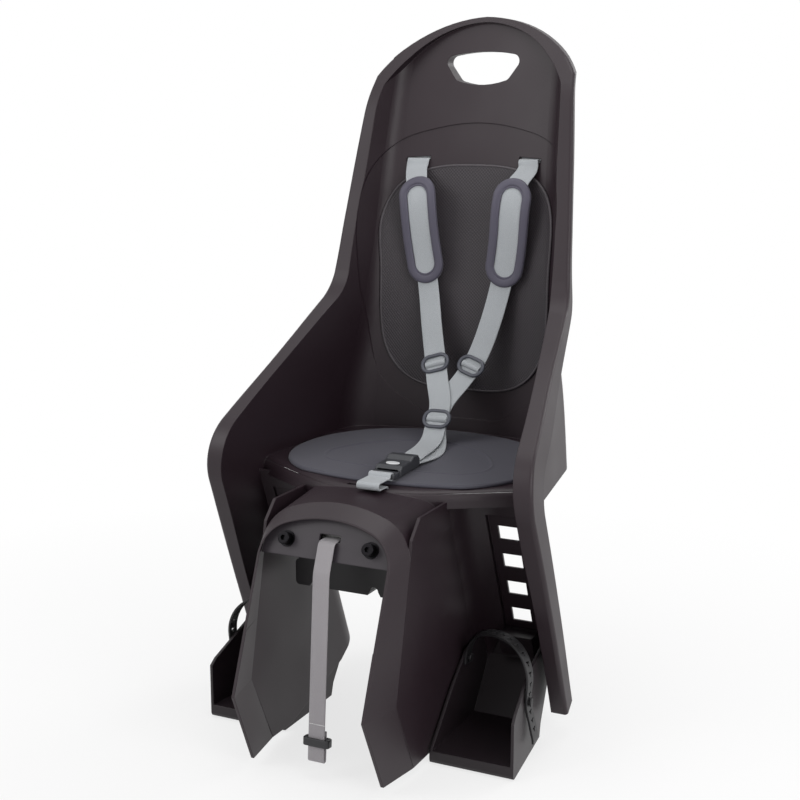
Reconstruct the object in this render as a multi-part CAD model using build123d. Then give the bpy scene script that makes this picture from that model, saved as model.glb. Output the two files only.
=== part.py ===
from build123d import *
import os
from dataclasses import dataclass, fields
from math import asin, cos, degrees, hypot, radians, sin

# Child bike seat for a rear rack. Millimetres, +X is the child's left, +Y rearwards, +Z up.
# The origin lies midway between the two rack rails, on the underside of the rack bracket.

# Walls and fits
WALL = 3.6  # moulded wall of the shell
FIT = 0.3  # clearance between pieces that seat on each other
WEB = 1.6  # thickness of all webbing

# Seat shell, side view
SEAT_TOP = 637.0  # top of the back
RIM_BACK = (306.0, 536.0)  # bend of the rim behind the head, as Y and Z
RIM_SHOULDER = (246.0, 300.0)  # bend from back wing to armrest
RIM_KNEE = (2.4, 138.5)  # foremost corner of the armrest, before rounding
GUARD_TOE = (131.0, -166.0)  # lowest front corner of the leg guard
GUARD_HEEL = (152.0, -160.0)
HEAD_R, SHOULDER_R, KNEE_R = 120.0, 60.0, 60.0
RIM_R = 4.0  # rounding of the rim's outer edge
RIM_LEAN = 0.65  # rearward run of the rim for each mm up, above the head bend
DECK_Y, DECK_Z = 110.0, 109.0  # a point of the deck on the symmetry plane
DECK_SLOPE = 0.03
DECK_LIP, DECK_ROUND = 20.0, 12.0  # depth and rounding of the deck's front lip

# Leg channels
LEG_X = 91.0  # outer face of an inner leg sheet
LEG_FRONT_X = 80.0  # the sheet's front edge, bent inwards
LEG_BEND_Z, LEG_TOE_Z = -97.0, -184.0
LEG_TOE_Y = -90.0
LEG_SOLE_Y = 8.0
LEG_HEEL = (132.0, -150.0)
FRONT_Y, FRONT_Z, FRONT_RAKE = -70.0, 52.0, 0.4026  # front edge of nose and legs
CREASE_Y, CREASE_Z, CREASE_RAKE = -48.0, 32.0, 0.2276
CREASE_TOE_Y = -34.0
LADDER_Y, LADDER_Z, LADDER_RAKE = 105.0, 58.0, -0.42  # footrest ladder, front face
LADDER_LOW_Z = -118.0
CHANNEL_R = 40.0
WINDOW_W, WINDOW_H, WINDOW_PITCH, WINDOWS = 24.0, 18.0, 37.6, 5
WINDOW_X = 140.0
RECESS_W, RECESS_D = 44.0, 4.0

# Nose and front plate
NOSE_TOP = 104.0
NOSE_REAR_Y = 60.0
PLATE_SETBACK, PLATE_T = 9.0, 4.0
PLATE_LOW_Z = 47.0
SCREW_X, SCREW_Z = 51.0, 64.0
SCREW_R, SCREW_HEAD_R, SCREW_HEAD_H, WASHER_R, WASHER_T = 4.0, 7.0, 9.0, 9.0, 1.6

# Back details
HANDLE_X, HANDLE_TOP, HANDLE_LOW = 55.0, 594.0, 553.0
SLOT_X, SLOT_Z, SLOT_W, SLOT_H, SLOT_TILT = 76.0, 461.0, 31.0, 5.0, 4.0
BACK_PAD_T, BACK_PAD_SINK = 3.0, 1.2
SEAT_PAD_T = 5.0
CROTCH_Y, CROTCH_SLOT_W, CROTCH_SLOT_D = 38.0, 52.0, 6.0
DECK_BOLT_X, DECK_BOLT_Y, DECK_BOLT_HEAD_R = 45.0, 70.0, 8.0
BOLT_R = 4.0

# Rack bracket
RAIL_X, RAIL_R = 36.0, 5.0
RAIL_FLARE = 8.5  # half-width of a rail groove's mouth
BRACKET_X, BRACKET_FRONT, BRACKET_REAR = 62.0, -20.0, 80.0
BAR_TOP, BAR_REAR = 30.0, 40.0

# Footrests, in their lowest place
TRAY_X = 94.0  # outer face of the inner wall
TRAY_OUT_FRONT, TRAY_OUT_REAR, TRAY_REAR_Y = 194.0, 177.0, 150.0
SOLE_Z, TRAY_LOW_Z, TRAY_TOP_Z, TRAY_T = -177.5, -193.0, -83.0, 3.4
SLIDE_GAP = 0.8  # clearance of the footrest from the ladder and its recess
TOE_STRAP_W, TOE_STRAP_T = 16.0, 2.4
PEG_R = 2.6

# Harness and buckle
WEB_W, CROTCH_W, SAFETY_W = 28.0, 28.0, 20.0
SHOULDER_PAD_W, SHOULDER_PAD_L, SHOULDER_PAD_T = 42.0, 136.0, 7.0
PAD_WINDOW_W, PAD_WINDOW_L = 22.0, 105.0
ADJUSTER_W, ADJUSTER_L, ADJUSTER_R = 38.0, 26.0, 9.0
BUCKLE_X, BUCKLE_W, BUCKLE_T = 11.0, 34.0, 1.8
BUCKLE_FRONT, BUCKLE_REAR = 64.0, 116.0
BUTTON_X, BUTTON_Y, BUTTON_Y0, BUTTON_TRAVEL = 17.0, 11.0, 78.0, 2.5


@dataclass(frozen=True)
class Station:
    """One level cut of the seat trough, right half: back centre, back corner, rim and strip."""

    z: float
    back_y: float
    corner_x: float
    corner_y: float
    rim_x: float
    rim_y: float
    corner_r: float
    rim_w: float


STATIONS = (
    Station(-200, 310, 166, 290, 193.5, 125, 40, 18),
    Station(-40, 306, 160, 288, 190.3, 66, 42, 19),
    Station(80, 304, 153, 282, 184.5, 20, 45, 21),
    Station(150, 309, 147, 283, 179.5, 24, 42, 21),
    Station(205, 315, 138, 288, 168, 95, 38, 18),
    Station(262, 320, 127, 293, 151.5, 182, 34, 20),
    Station(340, 326, 117, 301, 141.5, 243, 30, 18),
    Station(460, 338, 111, 321, 133, 274, 26, 16.5),
    Station(560, 357, 107, 346, 122, 310, 22, 15),
    Station(670, 380, 103, 373, 113, 348, 18, 13),
)
REACH = 60.0  # how far each level cut runs in front of the rim before trimming
LEVELS = 18  # level cuts of each loft
SIDE = 340.0  # half-width of the trimming tools


def station_at(z):
    """Station values at any height, carried smoothly from one measured level to the next."""
    i = max(k for k in range(len(STATIONS) - 1) if STATIONS[k].z <= z)
    a, b = STATIONS[i], STATIONS[i + 1]
    t, h = (z - a.z) / (b.z - a.z), b.z - a.z

    def slope(k, name):
        lo, hi = STATIONS[max(k - 1, 0)], STATIONS[min(k + 1, len(STATIONS) - 1)]
        return (getattr(hi, name) - getattr(lo, name)) / (hi.z - lo.z)

    def value(name):
        p, q = getattr(a, name), getattr(b, name)
        m, n = slope(i, name) * h, slope(i + 1, name) * h
        ends = (2 * t**3 - 3 * t**2 + 1) * p + (3 - 2 * t) * t**2 * q
        return ends + (t**3 - 2 * t**2 + t) * m + (t**3 - t**2) * n

    return Station(z, *(value(f.name) for f in fields(Station)[1:]))


def levels(low, high):
    step = (high - low) / (LEVELS - 1)
    return [station_at(low + i * step) for i in range(LEVELS)]


def deck_z(y):
    return DECK_Z + DECK_SLOPE * (y - DECK_Y)


def front_y(z):
    return FRONT_Y + FRONT_RAKE * (z - FRONT_Z)


def crease_y(z):
    return CREASE_Y + CREASE_RAKE * (z - CREASE_Z)


def ladder_y(z):
    return LADDER_Y + LADDER_RAKE * (z - LADDER_Z)


def polygon(plane, *points):
    """Flat face through the points of a plane, closed."""
    with BuildSketch(plane) as s:
        with BuildLine():
            Polyline(*points, close=True)
        make_face()
    return s.sketch


def prism(face, amount=SIDE):
    return extrude(face, amount=amount, both=True)


# Trough of the seat: level cuts lofted upwards
def trough_cut(st, grow, reach):
    """Closed level cut of the seat space, grown outwards by a wall and run past the rim."""
    run = hypot(st.rim_x - st.corner_x, st.rim_y - st.corner_y)
    along = ((st.rim_x - st.corner_x) / run, (st.rim_y - st.corner_y) / run)
    side = (-along[1], along[0])
    half = hypot(st.corner_x, st.back_y - st.corner_y)
    rear = ((st.back_y - st.corner_y) / half, st.corner_x / half)
    k = grow / (1 + side[0] * rear[0] + side[1] * rear[1])
    corner = (st.corner_x + k * (side[0] + rear[0]), st.corner_y + k * (side[1] + rear[1]))
    tip = (
        st.rim_x + grow * side[0] + reach * along[0],
        st.rim_y + grow * side[1] + reach * along[1],
    )
    with BuildSketch(Plane.XY.offset(st.z)) as s:
        with BuildLine():
            ThreePointArc((-corner[0], corner[1]), (0, st.back_y + grow), corner)
            Polyline(corner, tip, (-tip[0], tip[1]), (-corner[0], corner[1]))
        make_face()
        fillet(s.vertices().sort_by(Axis.Y)[-2:], st.corner_r + grow)
    return s.sketch


def flange_cut(st, grow, reach):
    """Level cut of the rolled rim: the trough widened by the rim strip, with less flare."""
    run = st.rim_y - st.corner_y
    flare = 0.45 * (st.rim_x - st.corner_x) / run
    x, back, front = st.rim_x + st.rim_w + grow, st.corner_y + 25 - grow, st.rim_y - reach
    xb, xf = x + flare * (back - st.rim_y), x + flare * (front - st.rim_y)
    return polygon(Plane.XY.offset(st.z), (xb, back), (xf, front), (-xf, front), (-xb, back))


def trough(grow, reach=REACH):
    return loft([trough_cut(st, grow, reach).face() for st in levels(-190 + grow, 660 - grow)])


def flange(grow):
    return loft([flange_cut(st, grow, REACH - grow).face() for st in levels(-190 + grow, 660 - grow)])


# Trimming outlines
def rim_points():
    """Corners of the rim line in side view, from above the back down to the guard's toe."""
    z = SEAT_TOP + 31.0
    top = (RIM_BACK[0] + RIM_LEAN * (z - RIM_BACK[1]), z)
    return [top, RIM_BACK, RIM_SHOULDER, RIM_KNEE, GUARD_TOE]


def wing_outline():
    """Side view of wings, back and guards, behind the rim line."""
    low = deck_z(340) - 18
    line = rim_points()
    heel = (ladder_y(LADDER_LOW_Z) + 5, LADDER_LOW_Z)
    rear = ladder_y(LADDER_Z) + 14
    with BuildSketch(Plane.YZ) as s:
        with BuildLine():
            FilletPolyline(*line, radius=(HEAD_R, SHOULDER_R, KNEE_R))
            Polyline(
                line[-1], GUARD_HEEL, heel, (rear, LADDER_Z), (rear, deck_z(rear) - 24),
                (340, low), (440, low), (440, line[0][1]), line[0],
            )
        make_face()
    return s.sketch


def return_outline():
    """Side view of the rim's rearward return, which narrows towards head and toe."""
    line = rim_points()
    rear = [(152, -156), (48, 125), (262, 290), (282, 390), (322, 548), (414, line[0][1])]
    with BuildSketch(Plane.YZ) as s:
        with BuildLine():
            FilletPolyline(*line, radius=(HEAD_R, SHOULDER_R, KNEE_R))
            Line(line[-1], rear[0])
            FilletPolyline(*rear, radius=(50, 50, 60, 60))
            Line(rear[-1], line[0])
        make_face()
    return s.sketch


def dome(inset_top, inset_side):
    """Front view of the back's rounded head, as a tool that is wide open below it."""
    top = (0, SEAT_TOP - inset_top)
    crown = (60 - 0.4 * inset_side, SEAT_TOP - 13 - inset_top)
    bend = (104 - 0.75 * inset_side, SEAT_TOP - 39 - 0.6 * inset_side)
    round_ = (132 - inset_side, SEAT_TOP - 71 - 0.5 * inset_side)
    low = (149 - inset_side, SEAT_TOP - 132 - 0.3 * inset_side)
    with BuildSketch(Plane.XZ) as s:
        with BuildLine():
            ThreePointArc(top, crown, bend)
            ThreePointArc(bend, round_, low)
            Polyline(low, (SIDE, low[1]), (SIDE, -250), (0, -250), top)
        make_face()
        mirror(about=Plane.YZ)
    return prism(s.sketch, 500)


# Wings, back and rolled rim
def rounded_rim():
    """The rim as a full block, its outer front edge rounded from toe to toe over the head."""
    block = flange(0) & dome(0, 0) & prism(return_outline())
    with BuildLine(Plane.YZ) as line:
        FilletPolyline(*rim_points(), radius=(HEAD_R, SHOULDER_R, KNEE_R))
    front = line.wire()

    def on_front(edge):
        at = (edge @ t for t in (0.1, 0.5, 0.9))
        return abs((edge @ 0.5).X) > 1 and all(front.distance_to(Vector(0, p.Y, p.Z)) < 0.3 for p in at)

    return fillet([e for e in block.edges() if on_front(e)], RIM_R)


def wings_and_rim(space):
    """Thin wall behind the rim line, the front strip and the rearward return."""
    outline = wing_outline()
    keep = prism(outline)
    outer = trough(WALL) & dome(0, 0) & keep
    wall = outer - space
    slab = keep - prism(offset(outline, -WALL, kind=Kind.INTERSECTION), SIDE + 10)
    rim = rounded_rim()
    strip = (rim - space) & slab
    skirt = rim - (flange(-WALL) & dome(WALL, WALL))
    return wall + strip + skirt, outer


# Deck with its rounded front lip
def deck_plan(inset):
    """Plan of the deck: bowed front edge between the leg channels."""
    half = [(60, 36), (120, 67), (164, 92), (210, 118)]
    front = [(-x, y) for x, y in reversed(half)] + [(0, 24), *half]
    line = [(x, y + inset) for x, y in front]
    with BuildSketch(Plane.XY) as s:
        with BuildLine():
            Spline(*line)
            Polyline(line[-1], (210, 345), (-210, 345), line[0])
        make_face()
    return extrude(s.sketch, amount=200)


def deck_slab(low, high):
    """Sloping slab between two heights below or above the deck plane."""
    ends = (-100, 345)
    points = [(ends[0], deck_z(ends[0]) + low), (ends[1], deck_z(ends[1]) + low)]
    points += [(ends[1], deck_z(ends[1]) + high), (ends[0], deck_z(ends[0]) + high)]
    return prism(polygon(Plane.YZ, *points), 215)


def deck(outer, space):
    block = deck_plan(0) & deck_slab(-DECK_LIP, 0)
    edge = block.edges().filter_by(lambda e: e.center().Y < 100 and e.center().Z > deck_z(60) - 4)
    edge = edge.sort_by(Axis.Y)[:1]
    block = fillet(edge, DECK_ROUND)
    plate = block - (deck_plan(WALL) & deck_slab(-DECK_LIP - 5, -WALL))
    return plate & trough(WALL)


# Nose saddle between the legs
def arch_face(y, z, rake, half, top_z, cx, cx_drop, side_z, low_z):
    """Arch outline on a raked plane: straight sides, rounded shoulders and a low crown."""
    n = hypot(1, rake)
    plane = Plane(origin=(0, y, z), x_dir=(1, 0, 0), z_dir=(0, -1 / n, rake / n))
    low, side, shoulder, top = ((h - z) * n for h in (low_z, side_z, top_z - cx_drop, top_z))
    with BuildSketch(plane) as s:
        with BuildLine():
            ThreePointArc((-cx, shoulder), (0, top), (cx, shoulder))
            r = (cx**2 + (top - shoulder) ** 2) / (2 * (top - shoulder))
            a = asin(cx / r)
            TangentArc((cx, shoulder), (half, side), tangent=(cos(a), -sin(a)))
            Polyline((half, side), (half, low), (-half, low), (-half, side))
            TangentArc((-cx, shoulder), (-half, side), tangent=(-cos(a), -sin(a)))
        make_face()
    return s.sketch.face()


def nose(inset, low_z=20.0, past=0.0):
    """Saddle from deck to front edge; its last stretch tapers in to the raked front."""
    h, t = LEG_X - inset, NOSE_TOP - inset
    faces = [
        arch_face(NOSE_REAR_Y + past, 0, 0, h, t + 1.5, 60, 4, 60, low_z),
        arch_face(CREASE_Y, CREASE_Z, CREASE_RAKE, h, t, 58, 10, 52, low_z),
        arch_face(FRONT_Y - past, FRONT_Z, FRONT_RAKE, LEG_FRONT_X - inset, t - 11, 52, 9, 46, low_z),
    ]
    return loft(faces, ruled=True)


# Inner legs and channel backs
def leg_outline(main):
    """Side view of an inner leg: with its front strip, or only behind the crease."""
    edge = crease_y if main else front_y
    toe = CREASE_TOE_Y if main else LEG_TOE_Y
    top = 75.0
    line = [(edge(top), top), (edge(LEG_BEND_Z), LEG_BEND_Z), (toe, LEG_TOE_Z), (LEG_SOLE_Y, LEG_TOE_Z)]
    line += [LEG_HEEL, (ladder_y(LADDER_LOW_Z) + 5, LADDER_LOW_Z)]
    line += [(ladder_y(LADDER_Z) + 14, LADDER_Z), (ladder_y(LADDER_Z) + 14, 95), (edge(top) + 20, 95)]
    with BuildSketch(Plane.YZ) as s:
        with BuildLine():
            Polyline(*line, close=True)
        make_face()
        vs = s.vertices()
        if not main:
            fillet([v for v in vs if abs(v.Z - LEG_BEND_Z) < 1], 16)
            fillet([v for v in s.vertices() if abs(v.Y - LEG_TOE_Y) < 1], 18)
    return prism(s.sketch)


def strip_cut(z, front, front_x, crease):
    """Level cut of a leg's bent front strip."""
    points = [(LEG_X, crease), (front_x, front), (front_x - WALL, front), (LEG_X - WALL, crease)]
    return polygon(Plane.XY.offset(z), *points).face()


def leg_strip():
    bend, toe, top = LEG_BEND_Z, LEG_TOE_Z - 2, 24.0
    middle = strip_cut(bend, front_y(bend), LEG_FRONT_X, crease_y(bend))
    upper = loft([strip_cut(top, front_y(top), LEG_FRONT_X, crease_y(top)), middle], ruled=True)
    lower = loft([middle, strip_cut(toe, LEG_TOE_Y, LEG_FRONT_X + 2, CREASE_TOE_Y)], ruled=True)
    return (upper + lower) & leg_outline(False)


def channel_plan(x, y, r):
    """Plan of a channel's space: inner wall at x, back wall at y, with a rounded corner."""
    with BuildSketch(Plane.XY) as s:
        with BuildLine():
            Polyline((x, -320), (x, y), (240, y), (240, -320), close=True)
        make_face()
        fillet([v for v in s.vertices() if abs(v.X - x) < 0.1 and v.Y > 0], r)
    return s.sketch


def slanted(sketch, high, low):
    """A plan drawn at ladder height zero, swept down along the ladder's rake."""
    shift = Pos(0, LADDER_RAKE * (high - LADDER_Z), high)
    return extrude(shift * sketch, amount=(high - low) * hypot(1, LADDER_RAKE), dir=(0, -LADDER_RAKE, -1))


def ladder_box(x0, x1, y0, y1, high, low):
    near, back = LADDER_Y + y0, LADDER_Y + y1
    return slanted(polygon(Plane.XY, (x0, near), (x1, near), (x1, back), (x0, back)), high, low)


def leg_side(guard_x):
    """Inner leg sheet, rounded corner and ladder wall of one channel."""
    plan = channel_plan(LEG_X - WALL, LADDER_Y + WALL, CHANNEL_R + WALL)
    plan -= channel_plan(LEG_X, LADDER_Y, CHANNEL_R)
    plan -= Pos(guard_x + 60, 0) * Rectangle(120, 800)
    sheet = slanted(plan, 100, -195) & leg_outline(True)
    x0, x1 = WINDOW_X - RECESS_W / 2, WINDOW_X + RECESS_W / 2
    high, low = LADDER_Z + 14, LADDER_LOW_Z + 4
    box = ladder_box(x0 - WALL, x1 + WALL, 0.5, RECESS_D + WALL, high + WALL, low - WALL)
    sheet += box & leg_outline(True)
    sheet -= ladder_box(x0, x1, -6, RECESS_D, high, low)
    for i in range(WINDOWS):
        z = LADDER_Z - i * WINDOW_PITCH
        sheet -= ladder_box(
            WINDOW_X - WINDOW_W / 2, WINDOW_X + WINDOW_W / 2, -5, 30, z, z - WINDOW_H
        )
    return sheet + leg_strip()


# Holes and recesses of the shell
def handle_face():
    """Hand hole near the top of the back."""
    with BuildSketch(Plane.XZ) as s:
        with BuildLine():
            ThreePointArc((-HANDLE_X, HANDLE_TOP - 7), (0, HANDLE_TOP), (HANDLE_X, HANDLE_TOP - 7))
            Line((HANDLE_X, HANDLE_TOP - 7), (HANDLE_X - 20, HANDLE_LOW + 6))
            ThreePointArc((HANDLE_X - 20, HANDLE_LOW + 6), (0, HANDLE_LOW), (20 - HANDLE_X, HANDLE_LOW + 6))
            Line((20 - HANDLE_X, HANDLE_LOW + 6), (-HANDLE_X, HANDLE_TOP - 7))
        make_face()
        fillet(s.vertices(), 9)
    return s.sketch


def half_loop(*points):
    """Closed front view from a smooth right-hand line, mirrored, on the back's plane."""
    with BuildSketch(Plane.XZ) as s:
        with BuildLine() as line:
            Spline(*points, tangents=((1, 0), (-1, 0)))
            mirror(about=Plane.YZ)
        make_face()
    return s.sketch


def recess_outline():
    upper = (0, 506), (65, 497), (108, 478), (127, 440), (131, 320)
    return half_loop(*upper, (126, 230), (106, 172), (60, 140), (0, 132))


def back_pad_outline():
    upper = (0, 455), (59, 450), (98, 429), (115, 395), (116, 330)
    return half_loop(*upper, (114, 262), (102, 218), (72, 188), (0, 175))


def behind(face, near=200.0, far=420.0):
    """A front view swept rearwards from one depth to another."""
    return extrude(Pos(0, far, 0) * face, amount=far - near)


def bolt_row(x, y, z, radius, length):
    """Two upright round bars, one on each side."""
    bar = Cylinder(radius, length, align=(Align.CENTER, Align.CENTER, Align.MAX))
    return [Pos(side * x, y, z) * bar for side in (-1, 1)]


def seat_shell():
    space = trough(0, REACH + 10) & dome(7, 16)
    body, outer = wings_and_rim(space)
    body += deck(outer, space)
    side = leg_side(188)
    body += side + mirror(side, Plane.YZ)
    body += nose(0)
    body -= nose(WALL, low_z=-30, past=2.0)
    handle = handle_face()
    body += behind(offset(handle, WALL) - handle, 340, 378) - space
    body -= behind(handle, 300)
    body -= trough(BACK_PAD_SINK) & behind(recess_outline())
    for side in (-1, 1):
        slot = Pos(side * SLOT_X, 0, SLOT_Z) * Rot(0, side * SLOT_TILT, 0) * Box(SLOT_W, 200, SLOT_H)
        body -= Pos(0, 340, 0) * slot
    slot = RectangleRounded(CROTCH_SLOT_W, CROTCH_SLOT_D, 2)
    body -= Pos(0, CROTCH_Y, DECK_Z) * extrude(slot, 20, both=True)
    top = DECK_Z + 10
    body -= bolt_row(DECK_BOLT_X, DECK_BOLT_Y, top, BOLT_R + FIT, 40)
    body -= bolt_row(DECK_BOLT_X, DECK_BOLT_Y, top, DECK_BOLT_HEAD_R + FIT, top - deck_z(DECK_BOLT_Y) + 2)
    return body


# Pads of seat and back
def seat_pad():
    with BuildSketch(Plane.XY) as s:
        with BuildLine():
            ThreePointArc((-100, 64), (0, 48), (100, 64))
            ThreePointArc((100, 64), (140, 100), (156, 155))
            ThreePointArc((156, 155), (128, 240), (60, 284))
            ThreePointArc((60, 284), (0, 292), (-60, 284))
            ThreePointArc((-60, 284), (-128, 240), (-156, 155))
            ThreePointArc((-156, 155), (-140, 100), (-100, 64))
        make_face()
    return extrude(s.sketch, 200) & deck_slab(0, SEAT_PAD_T)


def back_pad():
    seat = BACK_PAD_SINK - FIT
    return (trough(seat) - trough(seat - BACK_PAD_T, REACH + 10)) & behind(back_pad_outline())


# Front plate, its screws and the rack bracket
def plate_slab(setback, thickness):
    """Slab parallel to the raked front plane, a setback behind it."""
    n = hypot(1, FRONT_RAKE)
    a, b = setback * n, (setback + thickness) * n
    z0, z1 = -20.0, 130.0
    points = [(front_y(z0) + a, z0), (front_y(z1) + a, z1), (front_y(z1) + b, z1), (front_y(z0) + b, z0)]
    return prism(polygon(Plane.YZ, *points), 120)


def plate_frame(x, z, depth=0.0):
    """Location on the plate's front face, its Z axis pointing out of the plate."""
    n = hypot(1, FRONT_RAKE)
    y = front_y(z) + PLATE_SETBACK * n
    origin = (x, y + depth / n, z - depth * FRONT_RAKE / n)
    return Plane(origin=origin, x_dir=(1, 0, 0), z_dir=(0, -1 / n, FRONT_RAKE / n)).location


def front_plate():
    plate = nose(WALL + FIT, low_z=PLATE_LOW_Z) & plate_slab(PLATE_SETBACK, PLATE_T)
    plate -= plate_frame(0, 70) * extrude(RectangleRounded(26, 8, 2), 10, both=True)
    for side in (-1, 1):
        plate -= plate_frame(side * SCREW_X, SCREW_Z) * Cylinder(SCREW_R + FIT, 20)
    return plate


def plate_washer(side):
    ring = Cylinder(WASHER_R, WASHER_T) - Cylinder(SCREW_R + FIT, WASHER_T)
    return plate_frame(side * SCREW_X, SCREW_Z) * Pos(0, 0, WASHER_T / 2) * ring


def plate_screw(side):
    """Socket-head screw with its shank in the bracket's boss."""
    up = (Align.CENTER, Align.CENTER, Align.MIN)
    head = Pos(0, 0, WASHER_T) * Cylinder(SCREW_HEAD_R, SCREW_HEAD_H, align=up)
    head = fillet(head.faces().sort_by(Axis.Z)[-1].edges(), 1)
    head -= Pos(0, 0, WASHER_T + SCREW_HEAD_H) * extrude(RegularPolygon(3.2, 6), -3.5)
    shank = Pos(0, 0, WASHER_T) * Cylinder(SCREW_R, 30, align=(Align.CENTER, Align.CENTER, Align.MAX))
    return plate_frame(side * SCREW_X, SCREW_Z) * (head + shank)


def rail_groove():
    """Front view of a groove that closes over the upper half of a rack rail."""
    with BuildSketch(Plane.XZ) as s:
        with BuildLine():
            ThreePointArc((-RAIL_R, RAIL_R), (0, 2 * RAIL_R), (RAIL_R, RAIL_R))
            Polyline((RAIL_R, RAIL_R), (RAIL_FLARE, -1), (-RAIL_FLARE, -1), (-RAIL_R, RAIL_R))
        make_face()
    return s.sketch


def rack_bracket():
    bar_y, bar_l = (BRACKET_FRONT + BAR_REAR) / 2, BAR_REAR - BRACKET_FRONT
    bar = Pos(0, bar_y, BAR_TOP / 2) * Box(2 * BRACKET_X, bar_l, BAR_TOP)
    bar = fillet(bar.edges().filter_by(Axis.Y), 5)
    block_y, block_l = (BRACKET_FRONT + BRACKET_REAR) / 2, BRACKET_REAR - BRACKET_FRONT
    block = Pos(0, block_y, 75) * Box(2 * BRACKET_X - 8, block_l, 100)
    block = block & nose(WALL + FIT, low_z=0, past=40)
    for side in (-1, 1):
        start = plate_frame(side * SCREW_X, SCREW_Z, PLATE_T)
        block += start * Cylinder(8, 40, align=(Align.CENTER, Align.CENTER, Align.MAX))
        block -= Pos(side * 20, BRACKET_FRONT, 56) * Box(24, 76, 40)
    block -= Pos(0, 55, 80) * Box(68, 60, 90)
    body = bar + block
    for side in (-1, 1):
        body -= extrude(Pos(side * RAIL_X, bar_y, 0) * rail_groove(), bar_l, both=True)
        body -= plate_frame(side * SCREW_X, SCREW_Z) * Cylinder(SCREW_R + FIT, 72)
    body -= bolt_row(DECK_BOLT_X, DECK_BOLT_Y, DECK_Z + 10, BOLT_R + FIT, 52)
    return body


def deck_bolts():
    """Two flush-headed bolts that hold the deck on the bracket."""
    top = deck_z(DECK_BOLT_Y) - 0.4
    shanks = bolt_row(DECK_BOLT_X, DECK_BOLT_Y, top, BOLT_R, 36)
    heads = bolt_row(DECK_BOLT_X, DECK_BOLT_Y, top, DECK_BOLT_HEAD_R, 1.2)
    return Compound(children=[shank + head for shank, head in zip(shanks, heads)])


# Straps
def band(points, radii, width, x=0.0):
    """Strap that keeps one width across X and follows a line of Y and Z points."""
    with BuildLine(Plane.YZ) as line:
        FilletPolyline(*points, radius=radii)
    path = line.wire()
    start = Plane(origin=path @ 0, x_dir=(1, 0, 0), z_dir=path % 0)
    return Pos(x, 0, 0) * sweep(start * Rectangle(width, WEB), path=path)


def frame_on(path, t, across, lift=0.0):
    """Plane across a strap's path: X along its width, Z along the path."""
    run = path % t
    wide = (across - run * across.dot(run)).normalized()
    return Plane(origin=path @ t + run.cross(wide) * lift, x_dir=wide, z_dir=run)


def ribbon(path, cuts, width, thickness, across=Vector(1, 0, 0), lift=0.0):
    """Strap lofted along a free line, its width kept across one axis as far as it goes."""
    ends = [frame_on(path, i / (cuts - 1), across, lift) for i in range(cuts)]
    return loft([(end * Rectangle(width, thickness)).face() for end in ends])


def facing(path, t, lift=0.0):
    """Location on a strap, its Z axis out of the strap's front face."""
    cut = frame_on(path, t, Vector(1, 0, 0), lift)
    return Plane(origin=cut.origin, x_dir=cut.x_dir, z_dir=cut.z_dir.cross(cut.x_dir)).location


def tie_loop(bar_y, bar_z, width):
    """Sewn loop of strap round a flat bar."""
    inner = RectangleRounded(bar_y + 2 * FIT, bar_z + 2 * FIT, 1.2)
    return extrude(Plane.YZ * (offset(inner, WEB) - inner), width / 2, both=True)


def flat_bar(bar_y, bar_z, length):
    """Bar that a strap is looped round, its long edges rounded."""
    return extrude(Plane.YZ * RectangleRounded(bar_y, bar_z, 1), length / 2, both=True)


# Shoulder harness
PAD_TOP, PAD_FOOT = Vector(68, 313, 438), Vector(53, 304, 304)
ADJUSTER_AT, JOIN_AT, SPLIT_AT = Vector(26, 276, 210), Vector(0, 232, 157), Vector(0, 222.6, 144)
KEEPER_AT, KEEPER_YAW, KEEPER_BAR = Vector(77, 339.6, 461.2), 12.0, (4.0, 12.0)


def keeper_frame():
    return Pos(KEEPER_AT) * Rot(0, 0, -KEEPER_YAW)


def shoulder_upper():
    """Line from the keeper through the slot to the top of the shoulder pad."""
    a = radians(KEEPER_YAW)
    out = Vector(-sin(a), -cos(a), 0)
    start = KEEPER_AT + out * (KEEPER_BAR[0] / 2 + FIT + WEB / 2)
    points = [start, start + out * 7 + Vector(0, 0, -0.2), Vector(73.5, 318.5, 454), PAD_TOP]
    return Spline(*points, tangents=(out, PAD_FOOT - PAD_TOP))


def shoulder_lower():
    """Line from the foot of the shoulder pad through the adjuster to the lower adjuster."""
    points = [PAD_FOOT, Vector(39.5, 293, 255), ADJUSTER_AT, Vector(12, 254, 183.5), JOIN_AT, SPLIT_AT]
    return Spline(*points, tangents=(PAD_FOOT - PAD_TOP, Vector(0, -0.6, -0.8)))


def shoulder_strap(lift):
    """Strap of the child's left; the lift keeps the two straps apart where they cross."""
    axis, sleeve, low = Vector(1, 0, 0), Line(PAD_TOP, PAD_FOOT), shoulder_lower()
    cuts = [frame_on(shoulder_upper(), i / 8, axis) for i in range(9)]
    cuts += [frame_on(sleeve, i / 8, axis) for i in range(1, 8)]
    cuts += [frame_on(low, i / 13, axis, lift * min(1, max(0, (i - 8) / 2))) for i in range(14)]
    strap = loft([(cut * Rectangle(WEB_W, WEB)).face() for cut in cuts])
    return strap + keeper_frame() * tie_loop(*KEEPER_BAR, WEB_W)


def shoulder_pad():
    """Padded sleeve with a long window on its front."""
    place = facing(Line(PAD_TOP, PAD_FOOT), 0.5)
    body = extrude(SlotOverall(SHOULDER_PAD_L, SHOULDER_PAD_W, rotation=90), SHOULDER_PAD_T / 2, both=True)
    body = fillet(body.edges().filter_by(lambda e: abs(abs(e.center().Z) - SHOULDER_PAD_T / 2) < 0.1), 1.6)
    body -= extrude(SlotOverall(PAD_WINDOW_L, PAD_WINDOW_W, rotation=90), SHOULDER_PAD_T)
    body -= Box(WEB_W + 2.5, 2 * SHOULDER_PAD_L, WEB + 2 * FIT)
    return place * body


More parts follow.
